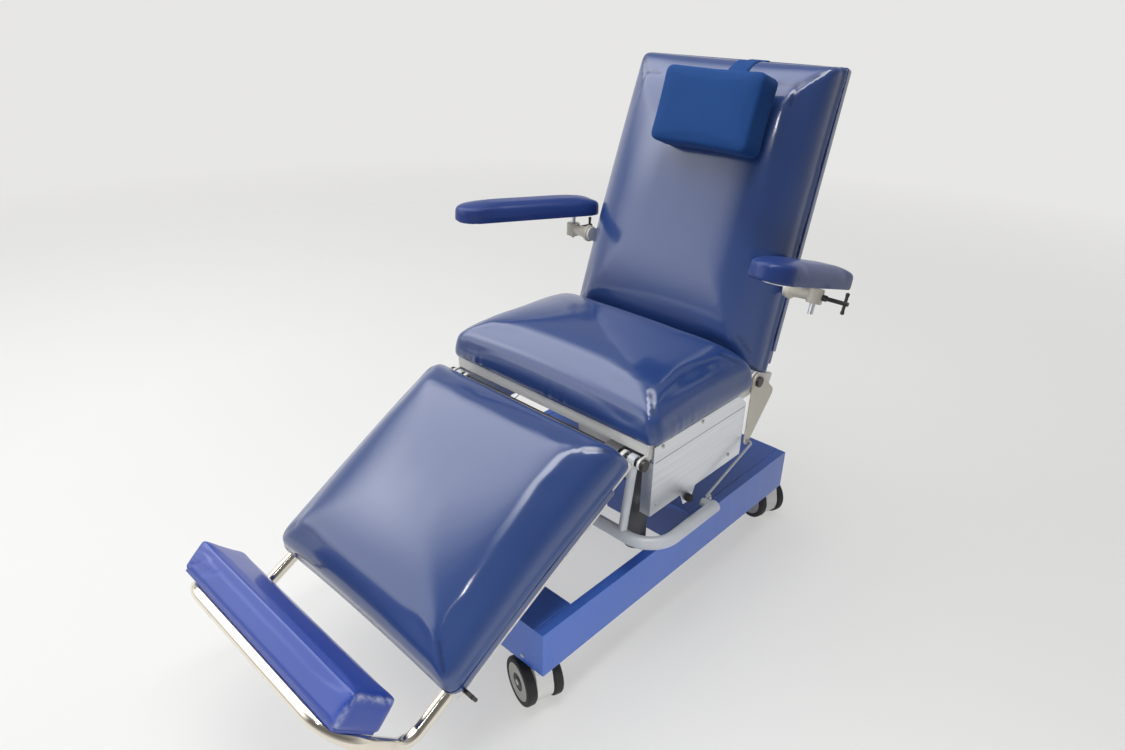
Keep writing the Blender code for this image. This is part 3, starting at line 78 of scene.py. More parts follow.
def make_camera():
    flat = math.cos(CAMERA_PITCH)
    ahead = (-math.sin(CAMERA_AZIMUTH) * flat, math.cos(CAMERA_AZIMUTH) * flat, -math.sin(CAMERA_PITCH))
    ahead = Vector(ahead)
    level = Vector((math.cos(CAMERA_AZIMUTH), math.sin(CAMERA_AZIMUTH), 0.0))
    upright = level.cross(ahead)
    right = level * math.cos(CAMERA_ROLL) + upright * math.sin(CAMERA_ROLL)
    up = upright * math.cos(CAMERA_ROLL) - level * math.sin(CAMERA_ROLL)
    data = bpy.data.cameras.new("camera")
    data.sensor_width = SENSOR
    data.lens = CAMERA_FOCAL * SENSOR / PHOTO_WIDTH
    item = bpy.data.objects.new("camera", data)
    bpy.context.scene.collection.objects.link(item)
    turn = Matrix((right, up, -ahead)).transposed().to_4x4()
    item.matrix_world = Matrix.Translation(ZERO + CAMERA_SPOT) @ turn
    bpy.context.scene.camera = item


make_camera()


NOISE_ROUGHNESS = 0.55
WAVE_DISTORTION = 0.6
EDGE_RADIUS = 0.004
EDGE_TURNS = (0.98, 0.80)


def add_node(tree, kind, values=None, **settings):
    made = tree.nodes.new(kind)
    for key, value in settings.items():
        setattr(made, key, value)
    for key, value in (values or {}).items():
        made.inputs[key].default_value = value
    return made


class Surface:
    """A material built up in layers on one Principled shader."""

    def __init__(self, name, colour, roughness, metallic=0.0, sockets=None):
        self.material = bpy.data.materials.new(name)
        self.material.use_nodes = True
        self.tree = self.material.node_tree
        self.shader = self.tree.nodes["Principled BSDF"]
        self.colour = None
        self.normal = None
        self.shader.inputs["Base Color"].default_value = (*colour, 1.0)
        self.shader.inputs["Roughness"].default_value = roughness
        self.shader.inputs["Metallic"].default_value = metallic
        for socket, value in (sockets or {}).items():
            self.shader.inputs[socket].default_value = value

    def node(self, kind, values=None, **settings):
        return add_node(self.tree, kind, values, **settings)

    def join(self, output, socket):
        self.tree.links.new(output, socket)

    def place(self, stretch=(1.0, 1.0, 1.0)):
        spot = self.node("ShaderNodeTexCoord")
        mapping = self.node("ShaderNodeMapping", {"Scale": stretch})
        self.join(spot.outputs["Object"], mapping.inputs["Vector"])
        return mapping.outputs["Vector"]

    def noise(self, scale, detail, stretch=(1.0, 1.0, 1.0)):
        values = {"Scale": scale, "Detail": detail, "Roughness": NOISE_ROUGHNESS}
        made = self.node("ShaderNodeTexNoise", values)
        self.join(self.place(stretch), made.inputs["Vector"])
        return made.outputs["Fac"]

    def cells(self, scale):
        made = self.node("ShaderNodeTexVoronoi", {"Scale": scale}, feature="SMOOTH_F1")
        self.join(self.place(), made.inputs["Vector"])
        return made.outputs["Distance"]

    def waves(self, scale, direction):
        values = {"Scale": scale, "Distortion": WAVE_DISTORTION}
        made = self.node("ShaderNodeTexWave", values, bands_direction=direction)
        self.join(self.place(), made.inputs["Vector"])
        return made.outputs["Fac"]

    def edges(self):
        """Mask of the stretch along an edge, from how far a bevel would turn the surface."""
        turned = self.node("ShaderNodeBevel", {"Radius": EDGE_RADIUS}, samples=4)
        flat = self.node("ShaderNodeNewGeometry")
        same = self.node("ShaderNodeVectorMath", operation="DOT_PRODUCT")
        self.join(turned.outputs["Normal"], same.inputs[0])
        self.join(flat.outputs["Normal"], same.inputs[1])
        return self.band(same.outputs["Value"], *EDGE_TURNS)

    def written(self, name):
        made = self.node("ShaderNodeAttribute", attribute_name=name)
        return made.outputs["Fac"]

    def band(self, value, low, high, top=1.0):
        made = self.node("ShaderNodeMapRange", {"From Min": low, "From Max": high, "To Max": top})
        self.join(value, made.inputs["Value"])
        return made.outputs["Result"]

    def times(self, a, b, operation="MULTIPLY"):
        made = self.node("ShaderNodeMath", operation=operation)
        self.join(a, made.inputs[0])
        self.join(b, made.inputs[1])
        return made.outputs[0]

    def tint(self, mask, colour):
        made = self.node("ShaderNodeMix", data_type="RGBA")
        self.join(mask, made.inputs["Factor"])
        if self.colour is None:
            made.inputs[6].default_value = self.shader.inputs["Base Color"].default_value[:]
        else:
            self.join(self.colour, made.inputs[6])
        made.inputs[7].default_value = (*colour, 1.0)
        self.colour = made.outputs[2]
        self.join(self.colour, self.shader.inputs["Base Color"])
        return self

    def rough(self, mask, low, high):
        made = self.node("ShaderNodeMapRange", {"To Min": low, "To Max": high})
        self.join(mask, made.inputs["Value"])
        self.join(made.outputs["Result"], self.shader.inputs["Roughness"])
        return self

    def bump(self, height, strength, distance):
        made = self.node("ShaderNodeBump", {"Strength": strength, "Distance": distance})
        self.join(height, made.inputs["Height"])
        if self.normal is not None:
            self.join(self.normal, made.inputs["Normal"])
        self.normal = made.outputs["Normal"]
        self.join(self.normal, self.shader.inputs["Normal"])
        return self


# Materials

def vinyl(name, colour, light, dark, seam, gloss=0.8, specular=0.2):
    coat = {"Coat Weight": gloss, "Coat Roughness": 0.12, "Coat IOR": 1.8}
    made = Surface(name, colour, 0.36, sockets={**coat, "Specular IOR Level": specular})
    made.tint(made.band(made.noise(2.6, 2.0), 0.42, 0.72, 0.40), light)
    made.tint(made.band(made.noise(9.0, 4.0), 0.50, 0.80, 0.25), dark)
    # Painted shade: a dark tint along the pressed fold grooves, by the mask that crease writes.
    made.tint(made.band(made.written("seam"), 0.15, 1.0, 0.7), seam)
    made.rough(made.noise(14.0, 5.0), 0.28, 0.44)
    made.bump(made.noise(18.0, 2.0), 0.03, 0.0010)
    made.bump(made.cells(620.0), 0.08, 0.0003)
    return made


def paint(name, colour, pale, grime, roughness=0.34, peel=0.05):
    coat = {"Coat Weight": 0.5, "Coat Roughness": 0.18, "Coat IOR": 1.6}
    made = Surface(name, colour, roughness, sockets=coat)
    made.tint(made.band(made.noise(5.0, 3.0), 0.45, 0.75, 0.10), pale)
    # Paler paint along the edges: partly edge wear, partly a painted highlight on the edges.
    worn_and_lit_edge = made.times(made.edges(), made.band(made.noise(60.0, 4.0), 0.42, 0.62, 0.7))
    made.tint(worn_and_lit_edge, pale)
    made.tint(made.band(made.noise(14.0, 6.0), 0.62, 0.85, 0.30), grime)
    made.rough(made.noise(30.0, 4.0), roughness - 0.08, roughness + 0.12)
    made.bump(made.noise(420.0, 2.0), peel, 0.0004)
    return made


def metal(name, colour, roughness, streak=None):
    made = Surface(name, colour, roughness, 1.0)
    if streak:
        lines = made.noise(260.0, 3.0, streak)
        made.tint(made.band(lines, 0.40, 0.75, 0.35), tuple(0.72 * c for c in colour))
        made.rough(lines, roughness - 0.07, roughness + 0.14)
        made.bump(lines, 0.10, 0.0002)
    else:
        smudge = made.noise(24.0, 5.0)
        made.tint(made.band(smudge, 0.55, 0.80, 0.35), tuple(0.62 * c for c in colour))
        made.rough(smudge, max(roughness - 0.04, 0.03), roughness + 0.10)
    return made


BLUE_VINYL = vinyl("blue_vinyl", (0.021, 0.056, 0.205), (0.032, 0.072, 0.235), (0.015, 0.040, 0.160),
                   (0.008, 0.016, 0.060))
ARM_VINYL = vinyl("arm_vinyl", (0.022, 0.050, 0.205), (0.036, 0.066, 0.245), (0.015, 0.035, 0.155),
                  (0.008, 0.014, 0.060), 0.20, 0.1)
ROYAL_VINYL = vinyl("royal_vinyl", (0.018, 0.060, 0.390), (0.032, 0.090, 0.450), (0.013, 0.040, 0.290),
                    (0.010, 0.016, 0.110), 0.5)
FLECKS = ROYAL_VINYL.band(ROYAL_VINYL.noise(70.0, 5.0), 0.40, 0.62)
ROYAL_VINYL.tint(ROYAL_VINYL.times(ROYAL_VINYL.written("scuff"), FLECKS), (0.55, 0.60, 0.75))

SHEEN = {"Sheen Weight": 0.04, "Sheen Roughness": 0.4, "Specular IOR Level": 0.2}
NAVY_CLOTH = Surface("navy_cloth", (0.012, 0.062, 0.230), 0.78, sockets=SHEEN)
NAVY_CLOTH.tint(NAVY_CLOTH.band(NAVY_CLOTH.noise(7.0, 3.0), 0.40, 0.70, 0.45), (0.016, 0.076, 0.270))
WEAVE = NAVY_CLOTH.times(NAVY_CLOTH.waves(330.0, "X"), NAVY_CLOTH.waves(330.0, "Z"))
NAVY_CLOTH.tint(NAVY_CLOTH.band(WEAVE, 0.55, 1.0, 0.35), (0.020, 0.086, 0.260))
# Painted shade: a dark tint along pressed fold grooves, wherever the fold mask is set.
NAVY_CLOTH.tint(NAVY_CLOTH.band(NAVY_CLOTH.written("seam"), 0.15, 1.0, 0.8), (0.004, 0.018, 0.060))
NAVY_CLOTH.bump(WEAVE, 0.25, 0.0004)

BLUE_PAINT = paint("blue_paint", (0.040, 0.140, 0.600), (0.150, 0.260, 0.680), (0.030, 0.100, 0.440), 0.36)
WHITE_PAINT = paint("white_paint", (0.760, 0.755, 0.720), (0.830, 0.825, 0.800), (0.560, 0.530, 0.460))
CREAM_PAINT = paint("cream_paint", (0.640, 0.600, 0.500), (0.760, 0.730, 0.640), (0.430, 0.370, 0.270),
                    0.42, 0.10)
GREY_PAINT = paint("grey_paint", (0.540, 0.570, 0.610), (0.680, 0.700, 0.720), (0.360, 0.365, 0.370), 0.34)
BRUSHED_STEEL = metal("brushed_steel", (0.78, 0.80, 0.84), 0.30, (1.0, 0.02, 1.0))
# The chrome's warm tint is a painted reflection of warm surroundings, on top of its own metal colour.
CHROME = metal("chrome", (0.86, 0.80, 0.70), 0.11)
DARK_STEEL = metal("dark_steel", (0.085, 0.080, 0.078), 0.38)
ZINC = metal("zinc", (0.62, 0.61, 0.58), 0.28)


def plastic(name, colour, pale, roughness, speck):
    made = Surface(name, colour, roughness)
    made.tint(made.band(made.noise(16.0, 4.0), 0.45, 0.75, 0.35), pale)
    made.rough(made.noise(45.0, 4.0), roughness - 0.08, roughness + 0.12)
    made.bump(made.noise(speck, 2.0), 0.10, 0.0003)
    return made


GREY_PLASTIC = plastic("grey_plastic", (0.085, 0.085, 0.090), (0.130, 0.130, 0.135), 0.48, 700.0)
WHITE_PLASTIC = plastic("white_plastic", (0.760, 0.755, 0.735), (0.680, 0.660, 0.610), 0.34, 500.0)
DISC_PLASTIC = plastic("disc_plastic", (0.640, 0.620, 0.560), (0.520, 0.500, 0.440), 0.40, 500.0)
BLACK_RUBBER = plastic("black_rubber", (0.014, 0.014, 0.015), (0.045, 0.044, 0.042), 0.62, 380.0)
PLYWOOD = Surface("plywood", (0.400, 0.270, 0.150), 0.55)
PLYWOOD.tint(PLYWOOD.band(PLYWOOD.noise(60.0, 4.0, (0.08, 1.0, 1.0)), 0.40, 0.70), (0.290, 0.180, 0.090))
PLYWOOD.bump(PLYWOOD.noise(220.0, 3.0, (0.06, 1.0, 1.0)), 0.15, 0.0004)

SLOT_LOOKS = {
    "blue_paint": BLUE_PAINT,
    "white_paint": WHITE_PAINT,
    "cream_paint": CREAM_PAINT,
    "grey_paint": GREY_PAINT,
    "blue_vinyl": BLUE_VINYL,
    "vinyl_board": BLUE_VINYL,
    "navy_cloth": NAVY_CLOTH,
    "royal_vinyl": ROYAL_VINYL,
    "brushed_steel": BRUSHED_STEEL,
    "chrome": CHROME,
    "dark_steel": DARK_STEEL,
    "grey_plastic": GREY_PLASTIC,
    "white_plastic": WHITE_PLASTIC,
    "black_rubber": BLACK_RUBBER,
    "plywood": PLYWOOD,
}

# CAD nodes kept: each takes its slot's material, and folded or cast pieces get eased edges
EASED = {
    "base_": 0.0016,
    "column_": 0.0012,
    "seat_pan": 0.0007,
    "side_panel": 0.0004,
    "hinge_plate": 0.0010,
    "back_frame": 0.0020,
    "back_board": 0.0030,
    "arm_plate": 0.0010,
    "arm_bracket": 0.0020,
    "lock_lever": 0.0008,
    "leg_frame": 0.0007,
    "foot_board": 0.0010,
    "leg_motor": 0.0015,
}
WRAPPED = {"foot_board": ROYAL_VINYL}
for part in frame["record"]["subparts"]:
    node = frame["nodes"][part["node"]]
    look = WRAPPED.get(part["node"], SLOT_LOOKS[part["material_slot"]]).material
    node.data.materials.clear()
    node.data.materials.append(look)
    for start, width in EASED.items():
        if not part["node"].startswith(start):
            continue
        weld = node.modifiers.new("weld", "WELD")
        weld.merge_threshold = 0.00002
        ease = node.modifiers.new("ease", "BEVEL")
        ease.width = width
        ease.segments = 2
        ease.limit_method = "ANGLE"
        ease.angle_limit = math.radians(38.0)
        node.modifiers.new("even", "WEIGHTED_NORMAL")


def link_piece(name, mesh, look, body, matrix=None):
    """Put a new mesh into the scene, on one body, at a place given from the chair's own zero."""
    item = bpy.data.objects.new(name, mesh)
    bpy.context.scene.collection.objects.link(item)
    if look is not None:
        mesh.materials.append(look.material)
    if matrix is not None:
        item.matrix_world = Matrix.Translation(ZERO) @ matrix
    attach(item, body)
    return item


def mesh_of(points, faces):
    mesh = bpy.data.meshes.new("form")
    mesh.from_pydata([tuple(p) for p in points], [], faces)
    shape = bmesh.new()
    shape.from_mesh(mesh)
    bmesh.ops.recalc_face_normals(shape, faces=shape.faces)
    shape.to_mesh(mesh)
    shape.free()
    mesh.shade_smooth()
    return mesh


def strips(rows, count, closed=True):
    """Faces that join rows of count points each, one row to the next; a closed row joins up with itself."""
    faces = []
    for k in range(rows - 1):
        for n in range(count if closed else count - 1):
            m = (n + 1) % count
            faces.append([k * count + n, k * count + m, (k + 1) * count + m, (k + 1) * count + n])
    return faces


def spun(profile, count=48):
    """Body of revolution round +Z from (radius, height, material index) points, pole to pole."""
    points = []
    rings = []
    for radius, height, look in profile:
        if radius == 0.0:
            rings.append([len(points)])
            points.append((0.0, 0.0, height))
        else:
            rings.append([len(points) + k for k in range(count)])
            for k in range(count):
                t = 2.0 * math.pi * k / count
                points.append((radius * math.cos(t), radius * math.sin(t), height))
    faces = []
    looks = []
    for row, (below, above) in enumerate(zip(rings, rings[1:])):
        for k in range(count):
            n = (k + 1) % count
            ring = [below[k % len(below)], below[n % len(below)]]
            ring += [above[n % len(above)], above[k % len(above)]]
            faces.append(list(dict.fromkeys(ring)))
            looks.append(profile[row + 1][2])
    mesh = mesh_of(points, faces)
    mesh.polygons.foreach_set("material_index", looks)
    mesh.set_sharp_from_angle(angle=math.radians(35.0))
    return mesh


# Frames of the soft pieces, from the chair's own zero
SEAT_FRAME = Matrix.Translation((0.0, 0.0215, SEAT_TOP + FIT))
BACK_FRAME = Matrix.Translation(BACK_PIVOT) @ Matrix.Rotation(-BACK_LEAN, 4, "X")
BACK_SEAT = 0.0617
UPRIGHT = Matrix.Rotation(math.pi / 2.0, 4, "X")
LEG_FRAME = Matrix.Translation(LEG_PIVOT) @ Matrix.Rotation(LEG_DROP, 4, "X")
FOOT_FRAME = LEG_FRAME @ Matrix.Translation((0.0, -FOOT_BEND, 0.0072))
FOOT_FACE = FOOT_FRAME @ Matrix.Rotation(FOOT_TILT, 4, "X")


def soft_outline(half_x, half_y, corner, draw_in, taper=0.0, arc=10, run=22):
    """Rounded outline, sides drawn in between the corners, narrowed by taper toward +Y."""
    outline = []
    inner_x, inner_y = half_x - corner, half_y - corner
    corners = [(inner_x, inner_y), (-inner_x, inner_y), (-inner_x, -inner_y), (inner_x, -inner_y)]
    for quarter, (cx, cy) in enumerate(corners):
        for k in range(arc):
            t = math.pi / 2.0 * (quarter + k / (arc - 1))
            outline.append((cx + corner * math.cos(t), cy + corner * math.sin(t)))
        nx, ny = corners[(quarter + 1) % 4]
        t = math.pi / 2.0 * (quarter + 1)
        for k in range(1, run):
            f = k / run
            pull = corner - draw_in * (1.0 - (2.0 * f - 1.0) ** 2)
            outline.append((cx + (nx - cx) * f + pull * math.cos(t), cy + (ny - cy) * f + pull * math.sin(t)))
    return [(x * (1.0 - taper / half_x * (y + half_y) / (2.0 * half_y)), y) for x, y in outline]


def nosed_outline(width, rear, front, corner, steps=24):
    """Arm pad outline: rounded corners behind, a half-round nose in front."""
    half = width / 2.0
    outline = []
    for k in range(8):
        t = math.pi / 2.0 * k / 7.0
        outline.append((half - corner + corner * math.cos(t), rear - corner + corner * math.sin(t)))
    for k in range(8):
        t = math.pi / 2.0 * (1.0 + k / 7.0)
        outline.append((-half + corner + corner * math.cos(t), rear - corner + corner * math.sin(t)))
    side = 18
    for k in range(1, side):
        outline.append((-half, rear - corner + (front + half - rear + corner) * k / side))
    for k in range(steps + 1):
        t = math.pi * (1.0 + k / steps)
        outline.append((half * math.cos(t), front + half + half * math.sin(t)))
    for k in range(side - 1, 0, -1):
        outline.append((half, rear - corner + (front + half - rear + corner) * k / side))
    return outline


def drawn_in(outline, amount):
    inside = []
    count = len(outline)
    for k, (x, y) in enumerate(outline):
        ax, ay = outline[k - 1]
        bx, by = outline[(k + 1) % count]
        tx, ty = bx - ax, by - ay
        size = math.hypot(tx, ty)
        inside.append((x - ty / size * amount, y + tx / size * amount))
    return inside


RING_SCALES = [1.0 - 0.003 * k ** 1.75 for k in range(1, 24)]


def stuffed(outline, side, rise, power=2.7, pinch=0.18, slope=0.0, slack=0.0):
    """Stuffed form on a flat bottom, its rise lowered by slack to leave room for the swelling."""
    cx = (max(p[0] for p in outline) + min(p[0] for p in outline)) / 2.0
    cy = (max(p[1] for p in outline) + min(p[1] for p in outline)) / 2.0
    half_x = max(p[0] for p in outline) - cx
    half_y = max(p[1] for p in outline) - cy
    rise = rise - slack
    rings = [[(x, y, 0.0) for x, y in drawn_in(outline, 0.0008)]]
    for f in (0.10, 0.3, 0.5, 0.75, 1.0):
        rings.append([(x, y, f * side) for x, y in outline])
    for scale in RING_SCALES:
        if scale < 0.05:
            break
        dome = (1.0 - scale ** power) ** (1.0 / power)
        ring = []
        for x, y in outline:
            corner = ((x - cx) / half_x * (y - cy) / half_y) ** 2
            lean = 1.0 + slope * scale * (y - cy) / half_y
            height = side + rise * lean * dome * (1.0 - pinch * corner * scale ** 2)
            ring.append((cx + (x - cx) * scale, cy + (y - cy) * scale, height))
        rings.append(ring)
    count = len(outline)
    points = [point for ring in rings for point in ring]
    foot = len(points)
    points += [(cx, cy, 0.0), (cx, cy, side + rise)]
    faces = strips(len(rings), count)
    last = (len(rings) - 1) * count
    for k in range(count):
        n = (k + 1) % count
        faces.append([foot, n, k])
        faces.append([foot + 1, last + k, last + n])
    return mesh_of(points, faces)


def coords_of(mesh):
    flat = np.empty(len(mesh.vertices) * 3)
    mesh.vertices.foreach_get("co", flat)
    return flat.reshape(-1, 3)


def normals_of(mesh):
    flat = np.empty(len(mesh.vertices) * 3, np.float32)
    mesh.vertex_normals.foreach_get("vector", flat)
    return flat.reshape(-1, 3).astype(float)


def evaluated_mesh(item):
    bpy.context.view_layer.update()
    state = bpy.context.evaluated_depsgraph_get()
    return bpy.data.meshes.new_from_object(item.evaluated_get(state))


def averaged(values, edges, rounds):
    """Values at the points of a mesh, averaged with those of their neighbours, several times over."""
    count = len(values)
    ends = np.concatenate((edges[:, 0], edges[:, 1]))
    others = np.concatenate((edges[:, 1], edges[:, 0]))
    shares = np.maximum(np.bincount(ends, minlength=count), 1)[:, None]
    for k in range(rounds):
        around = np.stack([np.bincount(ends, values[others, c], count) for c in range(3)], 1) / shares
        values = 0.5 * (values + around)
    return values


PRESSURE = 4.0
SWELL_FRAMES = 20


def puffed(mesh, voxel, cap, rim, even=8):
    """The form remeshed, then swollen as cloth under pressure, evenly and no further than cap.

    The rim, up to its height over the flat bottom, stays where it is.
    """
    item = bpy.data.objects.new("swelling", mesh)
    bpy.context.scene.collection.objects.link(item)
    remesh = item.modifiers.new("remesh", "REMESH")
    remesh.mode = "VOXEL"
    remesh.voxel_size = voxel
    item.data = evaluated_mesh(item)
    item.modifiers.clear()
    made = item.data
    edges = np.empty(len(made.edges) * 2, np.int32)
    made.edges.foreach_get("vertices", edges)
    edges = edges.reshape(-1, 2)
    start = coords_of(made)
    free = np.clip((start[:, 2:] - 0.5 * rim) / (0.5 * rim + voxel), 0.0, 1.0)
    start = start + (averaged(start, edges, even) - start) * free
    made.vertices.foreach_set("co", start.ravel())
    made.update()
    held = item.vertex_groups.new(name="held")
    low = [int(k) for k in np.nonzero(start[:, 2] < 0.6 * voxel)[0]]
    held.add(low, 1.0, "REPLACE")
    cloth = item.modifiers.new("cloth", "CLOTH")
    cloth.settings.quality = 4
    cloth.settings.mass = 0.3
    cloth.settings.vertex_group_mass = "held"
    cloth.settings.use_pressure = True
    cloth.settings.uniform_pressure_force = PRESSURE
    cloth.settings.effector_weights.gravity = 0.0
    cloth.collision_settings.use_collision = False
    scene = bpy.context.scene
    for k in range(1, SWELL_FRAMES + 1):
        scene.frame_set(k)
    swollen = coords_of(evaluated_mesh(item))
    item.modifiers.clear()
    scene.frame_set(1)
    step = averaged(swollen - start, edges, 4 * even) * free
    size = np.linalg.norm(step, axis=1, keepdims=True)
    start = start + step * np.minimum(1.0, cap / np.maximum(size, 1e-9))
    start[:, 2] = np.maximum(start[:, 2], 0.0)
    made.vertices.foreach_set("co", start.ravel())
    made.update()
    made.shade_smooth()
    bpy.data.objects.remove(item)
    return made


def near_line(points, line):
    """Distance of each point to a polyline, and how far along it (0 to 1) the nearest spot lies."""
    best = np.full(len(points), 1e9)
    along = np.zeros(len(points))
    count = len(line) - 1
    for k in range(count):
        a, b = np.array(line[k]), np.array(line[k + 1])
        d = b - a
        t = np.clip((points - a) @ d / (d @ d), 0.0, 1.0)
        gap = np.linalg.norm(points - a - t[:, None] * d, axis=1)
        closer = gap < best
        best[closer] = gap[closer]
        along[closer] = (k + t[closer]) / count
    return best, along


def crease(mesh, lines, width, depth):
    """Press grooves into a form along lines on its surface, and write where they run as a mask of painted
    shade for the grooves.
    """
    points = coords_of(mesh)
    normals = normals_of(mesh)
    marked = np.zeros(len(points))
    for line in lines:
        gap, along = near_line(points, line)
        fade = np.clip(np.minimum(along, 1.0 - along) * 6.0, 0.0, 1.0)
        pressed = np.exp(-((gap / width) ** 2)) * fade
        points -= normals * (depth * pressed)[:, None]
        marked = np.maximum(marked, np.exp(-((gap / (0.6 * width)) ** 2)) * fade)
    mesh.vertices.foreach_set("co", points.ravel())
    write(mesh, "seam", marked)
    mesh.update()


def write(mesh, name, values):
    layer = mesh.attributes.get(name) or mesh.attributes.new(name, "FLOAT", "POINT")
    layer.data.foreach_set("value", values.astype(np.float32))


def surface_tree(mesh):
    return BVHTree.FromPolygons([v.co for v in mesh.vertices], [p.vertices for p in mesh.polygons])


def on_surface(mesh, line):
    """A line dropped onto a form from above, point by point."""
    tree = surface_tree(mesh)
    spots = []
    for x, y in line:
        hit = tree.ray_cast(Vector((x, y, 1.0)), Vector((0.0, 0.0, -1.0)))[0]
        if hit is not None:
            spots.append(tuple(hit))
    return spots


def over_end(mesh, x, high, low, steps, lift):
    """The (y, z) line of a form's +Y end at one x, found from beyond it, from one height down to another."""
    tree = surface_tree(mesh)
    spots = []
    for k in range(1, steps + 1):
        z = high + (low - high) * k / steps
        hit = tree.ray_cast(Vector((x, 1.0, z)), Vector((0.0, -1.0, 0.0)))[0]
        if hit is not None:
            spots.append((hit.y + lift, z))
    return spots


def corner_folds(mesh, half_x, half_y, taper, reach, branch):
    """Short mitre seams, one along each corner's diagonal, forked at the +Y corners where branch is set."""
    lines = []
    for sx, sy in ((1, 1), (-1, 1), (-1, -1), (1, -1)):
        edge_x = half_x - (taper if sy > 0 else 0.0)
        corner = Vector((sx * edge_x, sy * half_y))
        inner = corner - Vector((sx, sy)) * reach
        plan = [corner.lerp(inner, f) for f in (0.30, 0.40, 0.50, 0.60, 0.70, 0.80, 0.90, 1.0)]
        lines.append(on_surface(mesh, [tuple(p) for p in plan]))
        for aside in (Vector((-sx, 0.0)), Vector((0.0, -sy))) if branch > 0.0 and sy > 0 else ():
            plan = [inner + aside * branch * f for f in (-0.30, -0.12, 0.06, 0.24, 0.42, 0.60, 0.80, 1.0)]
            lines.append(on_surface(mesh, [tuple(p) for p in plan]))
    return lines


FILL = 0.95


def filled_end(mesh, start, half_y, side, extra):
    """Make one end of a form boxier, from start to its edge, and longer by extra."""
    points = coords_of(mesh)
    length = half_y - start
    t = np.clip((side * points[:, 1] - start) / length, 0.0, 1.0)
    reach = start + length * (t + FILL * t ** 2 * (1.0 - t)) + extra * t ** 3
    points[:, 1] = np.where(t > 0.0, side * reach, points[:, 1])
    mesh.vertices.foreach_set("co", points.ravel())
    mesh.update()


def puckers(mesh, half_x, half_y, height, reach):
    """Fine upright puckers round the rim, where the cover is pulled under and stapled."""
    points = coords_of(mesh)
    normals = normals_of(mesh)
    on_end = np.abs(points[:, 1]) / half_y > np.abs(points[:, 0]) / half_x
    along = np.where(on_end, points[:, 0], points[:, 1] + 0.37)
    wave = np.sin(along * 290.0) + 0.7 * np.sin(along * 173.0 + 1.1)
    patches = np.clip(np.sin(along * 23.0 + 0.6) + 0.4 * np.sin(along * 51.0), 0.0, 1.0)
    up = points[:, 2] / reach
    fade = np.clip(up * 6.0, 0.0, 1.0) * np.exp(-(up ** 2))
    upright = 1.0 - np.abs(normals[:, 2])
    points += normals * (height * wave * patches * fade * upright)[:, None]
    mesh.vertices.foreach_set("co", points.ravel())
    mesh.update()


def cover(name, node, body, mesh, look, matrix):
    item = link_piece(name, mesh, look, body, matrix)
    finer = item.modifiers.new("finer", "SUBSURF")
    finer.levels = 1
    finer.render_levels = 1
    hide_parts(node)
    return item


# Seat, back and leg covers
SEAT_HALF = (0.300, 0.1735)
BACK_HALF = (0.280, 0.325)
BACK_TAPER = 0.020
LEG_HALF = (0.280, 0.259)
SEAT_RISES = (0.028, 0.086)
BACK_RISES = (0.016, 0.107)
LEG_RISES = (0.016, 0.094)
SLACK = 0.004
CAP = 0.0045
VOXEL = 0.006
CREASE_WIDTH = 0.006
CREASE_DEPTH = 0.0014
PUCKER_REACH = 0.030


def big_cover(outline, half, taper, rises, reach, pucker, slope=0.0, end=None, branch=0.0):
    form = puffed(stuffed(outline, *rises, slope=slope, slack=SLACK), VOXEL, CAP, rises[0])
    if end is not None:
        filled_end(form, end[0], half[1], *end[1:])
    puckers(form, *half, pucker, PUCKER_REACH)
    crease(form, corner_folds(form, *half, taper, reach, branch), CREASE_WIDTH, CREASE_DEPTH)
    return form


seat_outline = soft_outline(*SEAT_HALF, 0.028, 0.004)
seat_form = big_cover(seat_outline, SEAT_HALF, 0.0, SEAT_RISES, reach=0.060, pucker=0.0009,
                      end=(0.020, 1, 0.010))
cover("seat_cover", "seat_cushion", "carriage", seat_form, BLUE_VINYL, SEAT_FRAME)

back_outline = soft_outline(*BACK_HALF, 0.012, 0.003, BACK_TAPER)
back_form = big_cover(back_outline, BACK_HALF, BACK_TAPER, BACK_RISES, reach=0.062, pucker=0.0006,
                      end=(0.125, -1, 0.018), branch=0.050)
BACK_MATRIX = BACK_FRAME @ Matrix.Translation((0.0, BACK_SEAT, 0.355)) @ UPRIGHT
cover("back_cover", "back_cushion", "back", back_form, BLUE_VINYL, BACK_MATRIX)

leg_outline = soft_outline(*LEG_HALF, 0.026, 0.004)
leg_form = big_cover(leg_outline, LEG_HALF, 0.0, LEG_RISES, reach=0.058, pucker=0.0006, slope=0.26)
LEG_MATRIX = LEG_FRAME @ Matrix.Translation((0.0, -0.273, 0.0242 + FIT))
cover("leg_cover", "leg_cushion", "leg", leg_form, BLUE_VINYL, LEG_MATRIX)

# Edges of the leg and back covers, pulled down over the frame and the board
WELT_TOP = 0.004
WELT_LOW = -0.013
WELT_END_LOW = -0.003
WELT_IN = 0.0066
WELT_CLEAR = 0.048
FRAME_SIDE = 0.2724
BOARD_THICK = 0.0123
BACK_WELT_IN = 0.0029
BACK_WELT_CLEAR = 0.012
BOARD_CORNER = 0.006
WELT_FADE = 0.030


